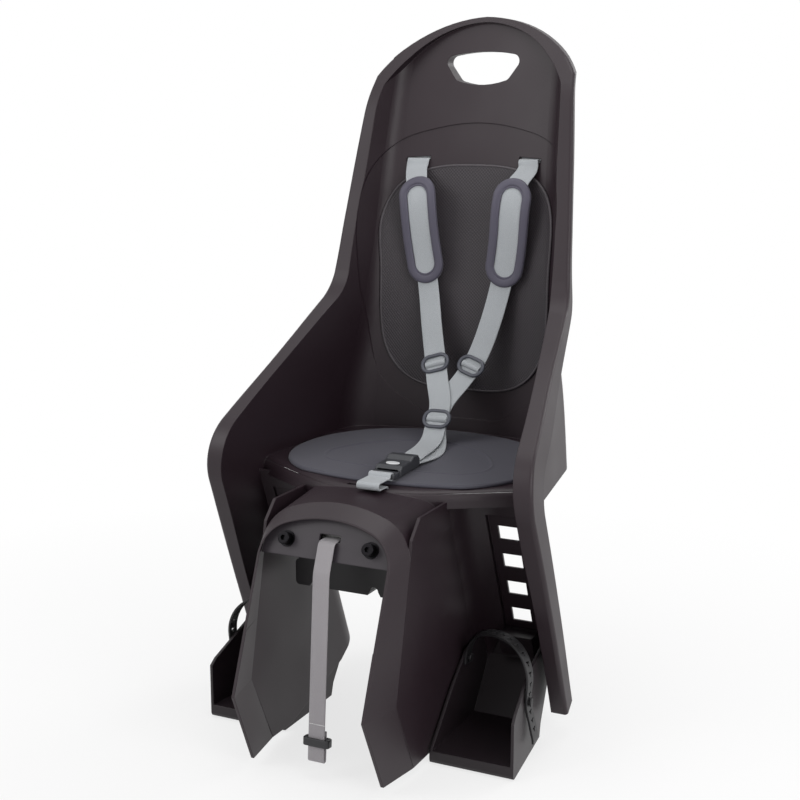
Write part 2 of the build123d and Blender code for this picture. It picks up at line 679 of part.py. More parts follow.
def adjuster(place, stack):
    """Ladder-lock frame: end bars before the strap, middle bar behind it."""
    gap, t, inner = stack / 2 + FIT, 2.0, WEB_W + 3
    body = extrude(RectangleRounded(ADJUSTER_W, ADJUSTER_L, ADJUSTER_R), gap + t, both=True)
    body = fillet(body.edges().filter_by(lambda e: abs(abs(e.center().Z) - gap - t) < 0.1), 0.8)
    body -= Box(inner, 2 * ADJUSTER_L, 2 * gap)
    body -= Pos(0, 0, gap + t) * Box(inner, ADJUSTER_L - 10, 2 * (gap + t))
    for side in (-1, 1):
        body -= Pos(0, side * (2.5 + ADJUSTER_L / 2), -gap - t) * Box(inner, ADJUSTER_L, 2 * (gap + t))
    return place * body


def lower_webbing():
    """Doubled strap from the lower adjuster over the seat pad into the buckle."""
    start = SPLIT_AT + Vector(0, -0.6, -0.8) * 0.8
    end = Vector(BUCKLE_X, BUCKLE_REAR - 9, 119)
    points = [start, Vector(1, 210, 127.5), Vector(3, 190, 120.4), Vector(7, 155, 119.2), end]
    path = Spline(*points, tangents=(Vector(0, -0.6, -0.8), Vector(0, -1, 0)))
    return ribbon(path, 13, WEB_W, 2 * WEB)


# Buckle, tongue and crotch strap
def across_x(points, half, x=BUCKLE_X):
    return Pos(x, 0, 0) * prism(polygon(Plane.YZ, *points), half)


def buckle_housing():
    f, r = BUCKLE_FRONT, BUCKLE_REAR
    side = [(f, 113.3), (r, 115.0), (r, 124), (r - 4, 129), (r - 16, 130), (r - 24, 125.8)]
    side += [(f + 5, 125), (f, 120.6)]
    body = across_x(side, BUCKLE_W / 2)
    ends = body.edges().filter_by(lambda e: abs(e.center().X - BUCKLE_X) > BUCKLE_W / 2 - 0.1)
    body = fillet(ends, 2.4)
    hollow = [(f - 5, 115.1), (r - 12, 116.9), (r - 12, 123), (f + 6, 123), (f - 5, 119)]
    body -= across_x(hollow, BUCKLE_W / 2 - BUCKLE_T - 2)
    body -= Pos(BUCKLE_X, r, 119) * Box(WEB_W + 2.6, 30, 2 * WEB + 1.8)
    hole = extrude(Ellipse(BUTTON_X / 2 + FIT, BUTTON_Y / 2 + FIT), 4, both=True)
    body -= Pos(BUCKLE_X, BUTTON_Y0, 124) * hole
    return body


def buckle_button():
    """Press button with a flange that keeps it in the housing."""
    cap = extrude(Ellipse(BUTTON_X / 2, BUTTON_Y / 2), 4.2)
    cap = fillet(cap.edges().sort_by(Axis.Z)[-1:], 0.8)
    flange_ = extrude(Ellipse(BUTTON_X / 2 + 1.5, BUTTON_Y / 2 + 1.5), 1.0)
    return Pos(BUCKLE_X, BUTTON_Y0, 121.8) * (cap + flange_)


def buckle_spring():
    """Return spring between the housing's floor and the button."""
    low, high, wire, radius = 115.9, 121.7, 0.35, 2.6
    path = Helix(pitch=(high - low - 2 * wire) / 3, height=high - low - 2 * wire, radius=radius)
    cut = Plane(origin=path @ 0, z_dir=path % 0) * Circle(wire)
    return Pos(BUCKLE_X, BUTTON_Y0, low + wire) * sweep(cut, path=path)


def buckle_tongue():
    f = BUCKLE_FRONT
    body = extrude(Pos(BUCKLE_X, f - 9.2) * RectangleRounded(BUCKLE_W, 17.4, 4), 119.8)
    body -= extrude(Rectangle(400, 400), 114.6)
    body = fillet(body.edges().filter_by(lambda e: e.center().Z > 119.7), 1.2)
    body -= Pos(BUCKLE_X, f - 11.3, 117) * Box(WEB_W + 2, 5.4, 30)
    blade = Pos(BUCKLE_X, f + 12, 117.7) * Box(22, 40, 1.6)
    blade -= Pos(BUCKLE_X, BUTTON_Y0, 117.7) * Cylinder(5, 8)
    return body + blade


CROTCH_BAR, TONGUE_BAR = (12.0, 4.0), (4.0, 5.2)
TONGUE_BAR_AT = (BUCKLE_X, BUCKLE_FRONT - 16.0, 117.2)
CROTCH_BAR_AT = (BUCKLE_X, CROTCH_Y, 95.4)


def crotch_strap():
    """Strap from its anchor up through the deck, over in a fold and back to the tongue."""
    y, z = TONGUE_BAR_AT[1] - TONGUE_BAR[0] / 2 - FIT - WEB / 2, 116.4
    low = CROTCH_BAR_AT[2] + CROTCH_BAR[1] / 2 + FIT + WEB / 2
    points = [(y, z), (14.5, z), (14.5, 108.7), (CROTCH_Y, 108.7), (CROTCH_Y, low)]
    strap = band(points, (3.6, 3.6, 3.0), CROTCH_W, BUCKLE_X)
    strap += Pos(TONGUE_BAR_AT) * tie_loop(*TONGUE_BAR, CROTCH_W)
    return strap + Pos(CROTCH_BAR_AT) * tie_loop(*CROTCH_BAR, CROTCH_W)


# Safety strap that hangs from the front plate
SAFETY_BAR, SAFETY_BAR_AT = (4.0, 12.0), (0, -40.0, 67.4)
SAFETY_LINE = ((-60.0, 67.4), (-73.0, 35.0), (-89.5, -172.0), (-85.0, -172.0), (-82.4, -138.0))
SLIDER_AT = (0.0, -85.5, -150.0)


def safety_strap():
    y = SAFETY_BAR_AT[1] - SAFETY_BAR[0] / 2 - FIT - WEB / 2
    strap = band([(y, SAFETY_LINE[0][1]), *SAFETY_LINE], (5, 30, 2.2, 2.2), SAFETY_W)
    return strap + Pos(SAFETY_BAR_AT) * tie_loop(*SAFETY_BAR, SAFETY_W)


def safety_slider():
    """Slide ring that holds the tail of the safety strap."""
    body = extrude(RectangleRounded(SAFETY_W + 12, 12, 4), 4.5, both=True)
    body = fillet(body.edges().filter_by(lambda e: abs(e.center().Z) > 4.4), 1)
    body -= extrude(RectangleRounded(SAFETY_W + 2, 8, 1.5), 10, both=True)
    return Pos(SLIDER_AT) * Rot(-5, 0, 0) * body


# Footrests and their straps
def tray_wall_x(y):
    """Outer face of a footrest's outer wall."""
    return TRAY_OUT_FRONT + (TRAY_OUT_REAR - TRAY_OUT_FRONT) * y / TRAY_REAR_Y


def tray_plan(inset, y0, y1):
    points = [(TRAY_X + inset, y0), (tray_wall_x(y0) - inset, y0)]
    points += [(tray_wall_x(y1) - inset, y1), (TRAY_X + inset, y1)]
    return extrude(polygon(Plane.XY.offset(TRAY_LOW_Z - 5), *points), 160)


def side_prism(*points):
    return prism(polygon(Plane.YZ, *points), 220)


def footrest():
    """Foot tray: low front lip, inner and outer walls, sloping heel wall and slider."""
    t, low, sole, top = TRAY_T, TRAY_LOW_Z, SOLE_Z, TRAY_TOP_Z
    box = tray_plan(0, 0, 172)
    rear = [(118, low), (123, sole), (168, -120), (168, top)]
    foot = (-20, sole), (123 - t, sole), (168 - t, -120), (168 - t, top + 9), (-20, top + 9)
    inside = tray_plan(t, -20, 172) & side_prism(*foot)
    hollow = (t, low - 9), (112 - t, low - 9), (118 - t, sole - t), (t, sole - t)
    under = tray_plan(t, t, 172) & side_prism(*hollow)
    body = (box & side_prism((0, low + 5), (1.5, low + 1.5), (5, low), *rear, (0, top))) - inside - under
    inner_cut = side_prism((-9, sole + 0.5), (0, sole + 0.5), (27, -152), (54, -126), (96, -93),
                           (150, top), (150, 0), (-9, 0))
    outer_cut = side_prism((-9, -128), (0, -128), (8, -121), (70, -92), (150, top), (150, 0), (-9, 0))
    body -= inner_cut & Pos(TRAY_X, 0, 0) * Box(60, 500, 800)
    body -= outer_cut & Pos(TRAY_X + 130, 0, 0) * Box(200, 500, 800)
    x0, x1 = WINDOW_X - RECESS_W / 2 + 1, WINDOW_X + RECESS_W / 2 - 1
    body += ladder_box(x0, x1, -26, RECESS_D - SLIDE_GAP, -84, -112)
    space = slanted(channel_plan(LEG_X + SLIDE_GAP, LADDER_Y - SLIDE_GAP, CHANNEL_R), -60, -200)
    slide = ladder_box(x0, x1, -30, RECESS_D - SLIDE_GAP, -83.5, -112)
    return body & (space + slide)


def toe_line():
    """Line of the foot strap from inside the inner wall over the foot to the outer wall."""
    wall = tray_wall_x(42.0) + FIT + TOE_STRAP_T / 2
    start = Vector(TRAY_X + TRAY_T + 2 * FIT + TOE_STRAP_T / 2, 95, -108)
    points = [start, Vector(102, 94, -88), Vector(119, 84, -66), Vector(150, 68, -56)]
    points += [Vector(178, 56, -64), Vector(wall + 2, 49.5, -94)]
    points += [Vector(wall + 0.4, 50, -118), Vector(wall + 2.5, 56, -145), Vector(wall + 5, 62, -171)]
    return Spline(*points)


PEG_AT = (50.0, -121.0)
PEG_STEM, PEG_PLAY = 3.2, 0.5  # stem beyond the strap, and room round it
TOE_PEG_AT, TOE_HOLE_PITCH = 0.779, 11.5  # place of the outer peg along the strap
TOE_HOLES_BEFORE, TOE_HOLES_AFTER = 10, 3


def foot_strap():
    """Rubber strap with T-shaped holes along it and a round one on each peg."""
    path, across = toe_line(), Vector(0, 1, 0)
    strap = ribbon(path, 19, TOE_STRAP_W, TOE_STRAP_T, across)
    for i in range(-TOE_HOLES_BEFORE, TOE_HOLES_AFTER + 1):
        if i:
            place = frame_on(path, TOE_PEG_AT + i * TOE_HOLE_PITCH / path.length, across).location
            strap -= place * (Box(7, 12, 2) + Pos(0, 0, 2.2) * Box(2.2, 12, 4.4))
    for x, y, z in ((tray_wall_x(PEG_AT[0]), *PEG_AT), (TRAY_X, 95, -100)):
        strap -= Pos(x, y, z) * Rot(0, 90, 0) * Cylinder(PEG_R + PEG_PLAY, 30)
    return strap


def foot_strap_pegs():
    """Headed pegs that hold the strap on the outer and inner walls."""
    pegs, up = [], (Align.CENTER, Align.CENTER, Align.MIN)
    for x, (y, z), way in ((tray_wall_x(PEG_AT[0]), PEG_AT, 1), (TRAY_X + TRAY_T, (95, -100), 1)):
        stem = Cylinder(PEG_R, TOE_STRAP_T + PEG_STEM + 0.5, align=up)
        head = Pos(0, 0, TOE_STRAP_T + PEG_STEM) * Cylinder(5.2, 1.8, align=up)
        head = fillet(head.edges().sort_by(Axis.Z)[-1:], 1)
        turn = Rot(0, 0, -degrees((TRAY_OUT_REAR - TRAY_OUT_FRONT) / TRAY_REAR_Y) if x > 150 else 0)
        pegs.append(Pos(x, y, z) * turn * Rot(0, 90, 0) * (stem + head))
    return Compound(children=pegs)


def both_sides(name, shape):
    """The right-hand piece as drawn and its mirrored twin; the child's left is +X."""
    return {f"{name}_left": shape, f"{name}_right": mirror(shape, Plane.YZ)}


def build():
    nodes = {
        "seat_shell": seat_shell(),
        "seat_pad": seat_pad(),
        "back_pad": back_pad(),
        "front_plate": front_plate(),
        "rack_bracket": rack_bracket(),
        "deck_bolts": deck_bolts(),
        "buckle_housing": buckle_housing(),
        "buckle_button": buckle_button(),
        "buckle_spring": buckle_spring(),
        "buckle_tongue": buckle_tongue(),
        "lower_webbing": lower_webbing(),
        "crotch_strap": crotch_strap(),
        "crotch_anchor": Pos(CROTCH_BAR_AT) * flat_bar(*CROTCH_BAR, CROTCH_W + 12),
        "safety_strap": safety_strap(),
        "safety_slider": safety_slider(),
        "safety_strap_anchor": Pos(SAFETY_BAR_AT) * flat_bar(*SAFETY_BAR, SAFETY_W + 10),
        "adjuster_lower": adjuster(facing(shoulder_lower(), 0.985), 3 * WEB + 1),
    }
    nodes |= both_sides("shoulder_pad", shoulder_pad())
    nodes |= both_sides("adjuster", adjuster(facing(shoulder_lower(), 0.555), WEB + 2.0))
    nodes |= both_sides("strap_keeper", keeper_frame() * flat_bar(*KEEPER_BAR, WEB_W + 16))
    nodes |= both_sides("footrest", footrest())
    nodes |= both_sides("foot_strap", foot_strap())
    nodes |= both_sides("foot_strap_pegs", foot_strap_pegs())
    nodes["shoulder_strap_left"] = shoulder_strap(-1.2)
    nodes["shoulder_strap_right"] = mirror(shoulder_strap(1.2), Plane.YZ)
    for side, word in ((1, "left"), (-1, "right")):
        nodes[f"plate_screw_{word}"] = plate_screw(side)
        nodes[f"plate_washer_{word}"] = plate_washer(side)
    return nodes


def main():
    os.makedirs("parts", exist_ok=True)
    for name, shape in build().items():
        export_step(shape, f"parts/{name}.step")


if __name__ == "__main__":
    main()
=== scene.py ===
"""Child bike seat: studio, finishes and soft parts over the CAD model.

Lengths are named in millimetres and become metres as they enter a mesh. X is the child's left,
Y runs to the rear and Z up, as in the CAD model.
"""
import logging
import math
from dataclasses import dataclass
from enum import Enum
from typing import Any

import bpy
import numpy as np
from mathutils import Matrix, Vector


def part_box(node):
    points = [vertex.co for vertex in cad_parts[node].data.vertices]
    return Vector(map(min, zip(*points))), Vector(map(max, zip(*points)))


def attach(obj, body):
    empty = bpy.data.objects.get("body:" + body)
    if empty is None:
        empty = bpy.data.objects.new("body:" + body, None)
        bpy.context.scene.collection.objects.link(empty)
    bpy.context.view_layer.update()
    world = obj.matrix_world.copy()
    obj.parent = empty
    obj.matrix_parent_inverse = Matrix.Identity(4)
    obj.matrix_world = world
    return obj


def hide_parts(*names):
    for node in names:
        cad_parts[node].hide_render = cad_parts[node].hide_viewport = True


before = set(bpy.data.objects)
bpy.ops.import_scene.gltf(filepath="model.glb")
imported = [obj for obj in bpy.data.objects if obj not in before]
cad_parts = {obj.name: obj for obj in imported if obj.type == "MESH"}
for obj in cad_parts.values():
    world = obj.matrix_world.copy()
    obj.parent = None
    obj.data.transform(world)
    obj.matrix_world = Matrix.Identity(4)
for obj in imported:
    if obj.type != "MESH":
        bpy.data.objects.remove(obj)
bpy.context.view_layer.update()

MM = 0.001
WEB = 1.6  # thickness of all webbing
HARNESS_WIDTH = 28.0  # width of the harness webbing
TOWARDS_BUCKLE = (0.0, -0.6, -0.8)  # direction of the webbing as it leaves the lower adjuster
HAIR = 0.01  # half of the straight run that a fully rounded end keeps
TINY = 1e-9  # shorter steps along a line are dropped
EDGE_RAYS = 6  # rays of the bevel that rounds sharp edges in the light
log = logging.getLogger("child_seat")
Array = np.ndarray
Point = tuple[float, float, float]
Flat = tuple[float, float]


class Side(Enum):
    """Side of the seat; the child's left lies on +X."""

    LEFT = 1
    RIGHT = -1

    @property
    def word(self) -> str:
        """Side as the nodes' names spell it."""
        return self.name.lower()


class Slot(Enum):
    """Names of material slots in the record."""

    WEBBING = "webbing"
    SAFETY_WEBBING = "safety_webbing"
    PAD_FOAM = "pad_foam"
    PAD_FABRIC = "pad_fabric"
    ADJUSTER = "adjuster_plastic"


# Colours and nodes
def linear(code: str) -> tuple[float, float, float, float]:
    """Turns an sRGB hex colour into linear RGBA.

    A channel c becomes c / 12.92 up to 0.04045, and ((c + 0.055) / 1.055) ^ 2.4 above it.

    Args:
        code: six hex digits.
    Returns:
        Linear red, green, blue and an alpha of 1.
    """
    srgb = np.array([int(code[i:i + 2], 16) for i in (0, 2, 4)]) / 255
    rgb = np.where(srgb <= 0.04045, srgb / 12.92, ((srgb + 0.055) / 1.055) ** 2.4)
    return (*rgb.tolist(), 1.0)


def add_node(tree: bpy.types.NodeTree, kind: str, inputs: dict | None = None,
             **settings: Any) -> bpy.types.Node:
    """Adds one node, sets its properties and fills or links its inputs.

    Args:
        tree: node tree that takes the node.
        kind: Blender's type name of the node.
        inputs: value or output socket for each input, by name or number.
        settings: properties of the node.
    Returns:
        The new node.
    """
    node = tree.nodes.new(kind)
    for name, value in settings.items():
        setattr(node, name, value)
    for socket, value in (inputs or {}).items():
        if isinstance(value, bpy.types.NodeSocket):
            tree.links.new(value, node.inputs[socket])
        else:
            node.inputs[socket].default_value = value
    return node


def maths(tree: bpy.types.NodeTree, operation: str, *values: Any) -> bpy.types.NodeSocket:
    """Adds one Math node on values or sockets and returns its output."""
    return add_node(tree, "ShaderNodeMath", dict(enumerate(values)), operation=operation).outputs[0]


def object_noise(tree: bpy.types.NodeTree, size: float, detail: float = 1.0) -> bpy.types.NodeSocket:
    """Noise in object space.

    Args:
        tree: node tree that takes the nodes.
        size: size of one cloud in millimetres.
        detail: how many finer layers lie over it.
    Returns:
        Socket that carries the noise, from 0 to 1.
    """
    place = add_node(tree, "ShaderNodeTexCoord").outputs["Object"]
    inputs = {"Vector": place, "Scale": 1 / (size * MM), "Detail": detail}
    return add_node(tree, "ShaderNodeTexNoise", inputs).outputs[0]


# Finishes
@dataclass(frozen=True)
class Finish:
    """Surface finish that becomes one material; a kind's own lengths are in millimetres."""

    name: str
    colour: str
    roughness: float
    reflectance: float = 0.5
    sheen: float = 0.0

    def material(self) -> bpy.types.Material:
        """Material of this finish, made on first use."""
        return bpy.data.materials.get(self.name) or self.build()

    def build(self) -> bpy.types.Material:
        """Makes the material from its colour, roughness, reflectance, sheen and its kind's nodes.

        Returns:
            The new material.
        """
        material = bpy.data.materials.new(self.name)
        material.use_nodes = True
        shader = material.node_tree.nodes["Principled BSDF"]
        shader.inputs["Base Color"].default_value = linear(self.colour)
        shader.inputs["Roughness"].default_value = self.roughness
        shader.inputs["Specular IOR Level"].default_value = self.reflectance
        shader.inputs["Sheen Weight"].default_value = self.sheen
        self.dress(material.node_tree, shader)
        return material

    def dress(self, tree: bpy.types.NodeTree, shader: bpy.types.Node) -> None:
        """Adds the nodes of a kind of finish; none here."""

    def relief(self, tree: bpy.types.NodeTree, shader: bpy.types.Node, height: Any, depth: float,
               edge: float = 0.0) -> None:
        """Raises the surface in the light.

        Args:
            tree: the material's nodes.
            shader: its surface shader.
            height: socket from 0, low, to 1, high.
            depth: height of the relief in millimetres.
            edge: radius in millimetres to which the light rounds off sharp edges.
        """
        inputs = {"Height": height, "Strength": 1.0, "Distance": depth * MM}
        if edge:
            bevel = add_node(tree, "ShaderNodeBevel", {"Radius": edge * MM}, samples=EDGE_RAYS)
            inputs["Normal"] = bevel.outputs[0]
        bump = add_node(tree, "ShaderNodeBump", inputs)
        tree.links.new(bump.outputs["Normal"], shader.inputs["Normal"])

    def two_tone(self, tree: bpy.types.NodeTree, shader: bpy.types.Node, height: Any, valley: str) -> None:
        """Paints shade into the surface by its relief: the lows take a darker colour than the highs.

        Args:
            tree: the material's nodes.
            shader: its surface shader.
            height: socket from 0, low, to 1, high.
            valley: colour of the lows; the highs take the finish's own.
        """
        tones = {"Factor": height, 6: linear(valley), 7: linear(self.colour)}
        mix = add_node(tree, "ShaderNodeMix", tones, data_type="RGBA")
        tree.links.new(mix.outputs[2], shader.inputs["Base Color"])


@dataclass(frozen=True)
class MouldedPlastic(Finish):
    """Injection-moulded polypropylene: a spark-eroded grain spreads its highlights wide and soft."""

    reflectance: float = 0.4
    grain: float = 0.9
    depth: float = 0.02
    edge: float = 1.4
    drift: float = 0.08
    cloud: float = 70.0

    def dress(self, tree: bpy.types.NodeTree, shader: bpy.types.Node) -> None:
        """Adds the mould's grain and a slow drift in gloss.

        Args:
            tree: the material's nodes.
            shader: its surface shader.
        """
        self.relief(tree, shader, object_noise(tree, self.grain), self.depth, self.edge)
        spread = {0: object_noise(tree, self.cloud), "To Min": self.roughness - self.drift,
                  "To Max": self.roughness + self.drift}
        gloss = add_node(tree, "ShaderNodeMapRange", spread).outputs[0]
        tree.links.new(gloss, shader.inputs["Roughness"])


@dataclass(frozen=True)
class PressedFoam(Finish):
    """Hot-pressed foam with a skin of fine closed pores: an even satin that greys at grazing light."""

    reflectance: float = 0.35
    sheen: float = 0.15
    pore: float = 0.8
    layers: float = 3.0
    depth: float = 0.05

    def dress(self, tree: bpy.types.NodeTree, shader: bpy.types.Node) -> None:
        """Adds the pores."""
        self.relief(tree, shader, object_noise(tree, self.pore, self.layers), self.depth)


@dataclass(frozen=True)
class RibbedFoam(Finish):
    """Foam pressed with a field of small diamonds, which catch the light as fine diagonal rows; shade is
    painted darker into their lows.
    """

    reflectance: float = 0.45
    # painted shade: the darker colour of the diamonds' lows
    valley: str = "252125"
    pitch: float = 4.4
    depth: float = 0.45
    back: float = 294.0
    lean: float = 0.1

    def dress(self, tree: bpy.types.NodeTree, shader: bpy.types.Node) -> None:
        """Adds the diamonds, from the sum of two crossed waves over height z and girth g, and paints shade
        darker into their lows.

        The relief is 0.5 + (sin k (g + z) + sin k (g - z)) / 4, where k is one turn per pitch. The
        girth is X, grown towards both sides by how far the surface has come forward of the back's
        line, Y = back + lean * z. So the rows keep their pitch where the pad turns into the wings.

        Args:
            tree: the material's nodes.
            shader: its surface shader.
        """
        place = add_node(tree, "ShaderNodeTexCoord").outputs["Object"]
        axes = add_node(tree, "ShaderNodeSeparateXYZ", {0: place}).outputs
        back = maths(tree, "MULTIPLY_ADD", axes[2], self.lean, self.back * MM)
        forward = maths(tree, "MAXIMUM", maths(tree, "SUBTRACT", back, axes[1]), 0.0)
        girth = maths(tree, "MULTIPLY_ADD", maths(tree, "SIGN", axes[0]), forward, axes[0])
        turns = 2 * math.pi / (self.pitch * MM)
        slants = [maths(tree, sign, girth, axes[2]) for sign in ("ADD", "SUBTRACT")]
        rising, falling = (maths(tree, "SINE", maths(tree, "MULTIPLY", slant, turns)) for slant in slants)
        height = maths(tree, "MULTIPLY_ADD", maths(tree, "ADD", rising, falling), 0.25, 0.5)
        self.two_tone(tree, shader, height, self.valley)
        self.relief(tree, shader, height, self.depth)


@dataclass(frozen=True)
class WovenWebbing(Finish):
    """Woven polyester webbing: a chevron twill that reads as fine slanted ribs, with shade painted darker
    into its valleys.
    """

    reflectance: float = 0.3
    sheen: float = 0.2
    # painted shade: the darker colour of the twill's lows
    valley: str = "808080"
    rib: float = 1.5
    chevron: float = 7.0
    depth: float = 0.16

    def dress(self, tree: bpy.types.NodeTree, shader: bpy.types.Node) -> None:
        """Adds the twill along the strap's own UV, with shade painted darker into its lows: U is metres
        along it, V metres round it.

        Args:
            tree: the material's nodes.
            shader: its surface shader.
        """
        place = add_node(tree, "ShaderNodeUVMap", uv_map="strap").outputs[0]
        axes = add_node(tree, "ShaderNodeSeparateXYZ", {0: place}).outputs
        fold = maths(tree, "PINGPONG", axes[1], self.chevron * MM)
        slant = maths(tree, "MULTIPLY", maths(tree, "ADD", axes[0], fold), 2 * math.pi / (self.rib * MM))
        height = maths(tree, "MULTIPLY_ADD", maths(tree, "SINE", slant), 0.5, 0.5)
        self.two_tone(tree, shader, height, self.valley)
        self.relief(tree, shader, height, self.depth)


@dataclass(frozen=True)
class PlatedSteel(Finish):
    """Plated or blackened steel: a tight, slightly brushed reflection."""

    scuff: float = 0.5
    layers: float = 2.0
    depth: float = 0.01

    def dress(self, tree: bpy.types.NodeTree, shader: bpy.types.Node) -> None:
        """Makes it metal with a faint scuff."""
        shader.inputs["Metallic"].default_value = 1.0
        self.relief(tree, shader, object_noise(tree, self.scuff, self.layers), self.depth)


SHELL_PLASTIC = MouldedPlastic("shell polypropylene", "251a20", 0.46, reflectance=0.38)
TRAY_PLASTIC = MouldedPlastic("footrest polypropylene", "20191d", 0.46, reflectance=0.36)
PLATE_PLASTIC = MouldedPlastic("front plate polypropylene", "342f34", 0.45)
BRACKET_PLASTIC = MouldedPlastic("bracket glass-filled nylon", "1c1a1c", 0.45, depth=0.03)
BUCKLE_PLASTIC = MouldedPlastic("buckle acetal", "3a3b3f", 0.35, grain=0.5, depth=0.01)
BUTTON_PLASTIC = MouldedPlastic("button acetal", "dfe0e2", 0.35, grain=0.5, depth=0.01)
ADJUSTER_PLASTIC = MouldedPlastic("adjuster acetal", "4c4e57", 0.35, grain=0.5, depth=0.01)
SLIDER_PLASTIC = MouldedPlastic("slider acetal", "2c2c2e", 0.35, grain=0.5, depth=0.01)
SEAT_FOAM = PressedFoam("seat pad foam", "42414b", 0.55)
RIM_FOAM = PressedFoam("shoulder pad foam", "504d5b", 0.50, pore=0.6, depth=0.02)
BACK_FOAM = RibbedFoam("back pad foam", "3b353a", 0.50)
BEAD_FOAM = PressedFoam("back pad bead foam", "4c474b", 0.45, depth=0.02)
# The darker valley colours of both webbings are painted shade in the lows of the twill.
WEBBING = WovenWebbing("harness webbing", "c6cacd", 0.6, valley="92969b")
SAFETY_WEBBING = WovenWebbing("safety strap webbing", "aca8ab", 0.65, valley="827e82")
THREAD = Finish("white sewing thread", "e4e4e4", 0.7)
RUBBER = MouldedPlastic("foot strap rubber", "201f21", 0.45, grain=0.7, depth=0.03)
BLACK_STEEL = PlatedSteel("blackened screw steel", "1f1e20", 0.32)
ZINC_STEEL = PlatedSteel("zinc-plated steel", "9a9a98", 0.35)

CAD_FINISHES: dict[str, Finish] = {
    "seat_shell": SHELL_PLASTIC,
    "front_plate": PLATE_PLASTIC,
    "rack_bracket": BRACKET_PLASTIC,
    "deck_bolts": ZINC_STEEL,
    "buckle_housing": BUCKLE_PLASTIC,
    "buckle_tongue": BUCKLE_PLASTIC,
    "buckle_button": BUTTON_PLASTIC,
    "buckle_spring": ZINC_STEEL,
    "crotch_anchor": ZINC_STEEL,
    "safety_strap_anchor": ZINC_STEEL,
    "safety_slider": SLIDER_PLASTIC,
}
SIDE_FINISHES: dict[str, Finish] = {
    "footrest": TRAY_PLASTIC,
    "foot_strap": RUBBER,
    "foot_strap_pegs": RUBBER,
    "strap_keeper": ZINC_STEEL,
    "plate_screw": BLACK_STEEL,
    "plate_washer": BLACK_STEEL,
}


# Curves
def spline(points: list[Point], first: Point, last: Point, count: int = 160) -> Array:
    """Smooth line through points.

    Each span is a cubic with the slopes m at its ends; the slopes solve the three-term system that
    makes the second derivative the same on both sides of every inner point.

    Args:
        points: points that it passes through.
        first: direction at its start.
        last: direction at its end.
        count: how many points to return.
    Returns:
        Array of count points.
    """
    p = np.array(points, float)
    gap = np.linalg.norm(np.diff(p, axis=0), axis=1)
    knots = np.concatenate([[0], np.cumsum(gap)])
    n = len(p)
    system, right = np.eye(n), np.zeros((n, 3))
    right[0], right[-1] = np.array(first) / np.linalg.norm(first), np.array(last) / np.linalg.norm(last)
    for i in range(1, n - 1):
        a, b = 1 / gap[i - 1], 1 / gap[i]
        system[i, i - 1:i + 2] = a, 2 * (a + b), b
        right[i] = 3 * ((p[i] - p[i - 1]) * a * a + (p[i + 1] - p[i]) * b * b)
    slopes = np.linalg.solve(system, right)
    place = np.linspace(0, knots[-1], count)
    i = np.clip(np.searchsorted(knots, place, side="right") - 1, 0, n - 2)
    t, h = ((place - knots[i]) / gap[i])[:, None], gap[i][:, None]
    bend = (t ** 3 - 2 * t ** 2 + t) * slopes[i] + (t ** 3 - t ** 2) * slopes[i + 1]
    return (2 * t ** 3 - 3 * t ** 2 + 1) * p[i] + (3 - 2 * t) * t ** 2 * p[i + 1] + h * bend


def rounded_line(corners: list[Point], radii: tuple[float, ...], steps: int = 10) -> Array:
    """Straight runs whose inner corners are arcs tangent to both runs.

    Args:
        corners: ends and corners of the runs.
        radii: radius of each inner corner.
        steps: points on each arc.
    Returns:
        Array of points along the line.
    """
    p = np.array(corners, float)
    line = [p[:1]]
    for before, corner, after, radius in zip(p, p[1:], p[2:], radii):
        a, b = before - corner, after - corner
        a, b = a / np.linalg.norm(a), b / np.linalg.norm(b)
        half = math.acos(float(a @ b)) / 2
        middle = corner + (a + b) / np.linalg.norm(a + b) * radius / math.sin(half)
        u, v = corner + a * radius / math.tan(half) - middle, corner + b * radius / math.tan(half) - middle
        turn, t = math.pi - 2 * half, np.linspace(0, 1, steps)[:, None]
        line.append(middle + (np.sin((1 - t) * turn) * u + np.sin(t * turn) * v) / math.sin(turn))
    return np.concatenate([*line, p[-1:]])


def arc(a: Flat, b: Flat, c: Flat, count: int = 40) -> Array:
    """Circular arc from a through b to c.

    The middle of the circle solves two equations: equal distance to a and b, and to b and c.

    Args:
        a: start.
        b: point on the way.
        c: end.
        count: how many points to return.
    Returns:
        Array of count points.
    """
    p = np.array([a, b, c], float)
    middle = np.linalg.solve(2 * (p[1:] - p[:-1]), (p[1:] ** 2 - p[:-1] ** 2).sum(axis=1))
    angle = np.unwrap(np.arctan2(*(p - middle).T[::-1]))
    turn = np.linspace(angle[0], angle[2], count)
    return middle + np.hypot(*(p[0] - middle)) * np.stack([np.cos(turn), np.sin(turn)], axis=-1)


def even(line: Array, count: int, closed: bool = False) -> Array:
    """Spreads points evenly along a line.

    Args:
        line: points of the line.
        count: how many points to return.
        closed: whether the line ends where it starts, which is then returned once.
    Returns:
        Array of count points.
    """
    line = np.concatenate([line, line[:1]]) if closed else line
    steps = np.linalg.norm(np.diff(line, axis=0), axis=1)
    line, steps = np.concatenate([line[:1], line[1:][steps > TINY]]), steps[steps > TINY]
    length = np.concatenate([[0], np.cumsum(steps)])
    place = np.linspace(0, length[-1], count + closed)[:count]
    return np.stack([np.interp(place, length, axis) for axis in line.T], axis=-1)


def circle(count: int) -> Array:
    """Angles spread evenly round a circle, the first at 0."""
    return np.linspace(0, 2 * math.pi, count, endpoint=False)


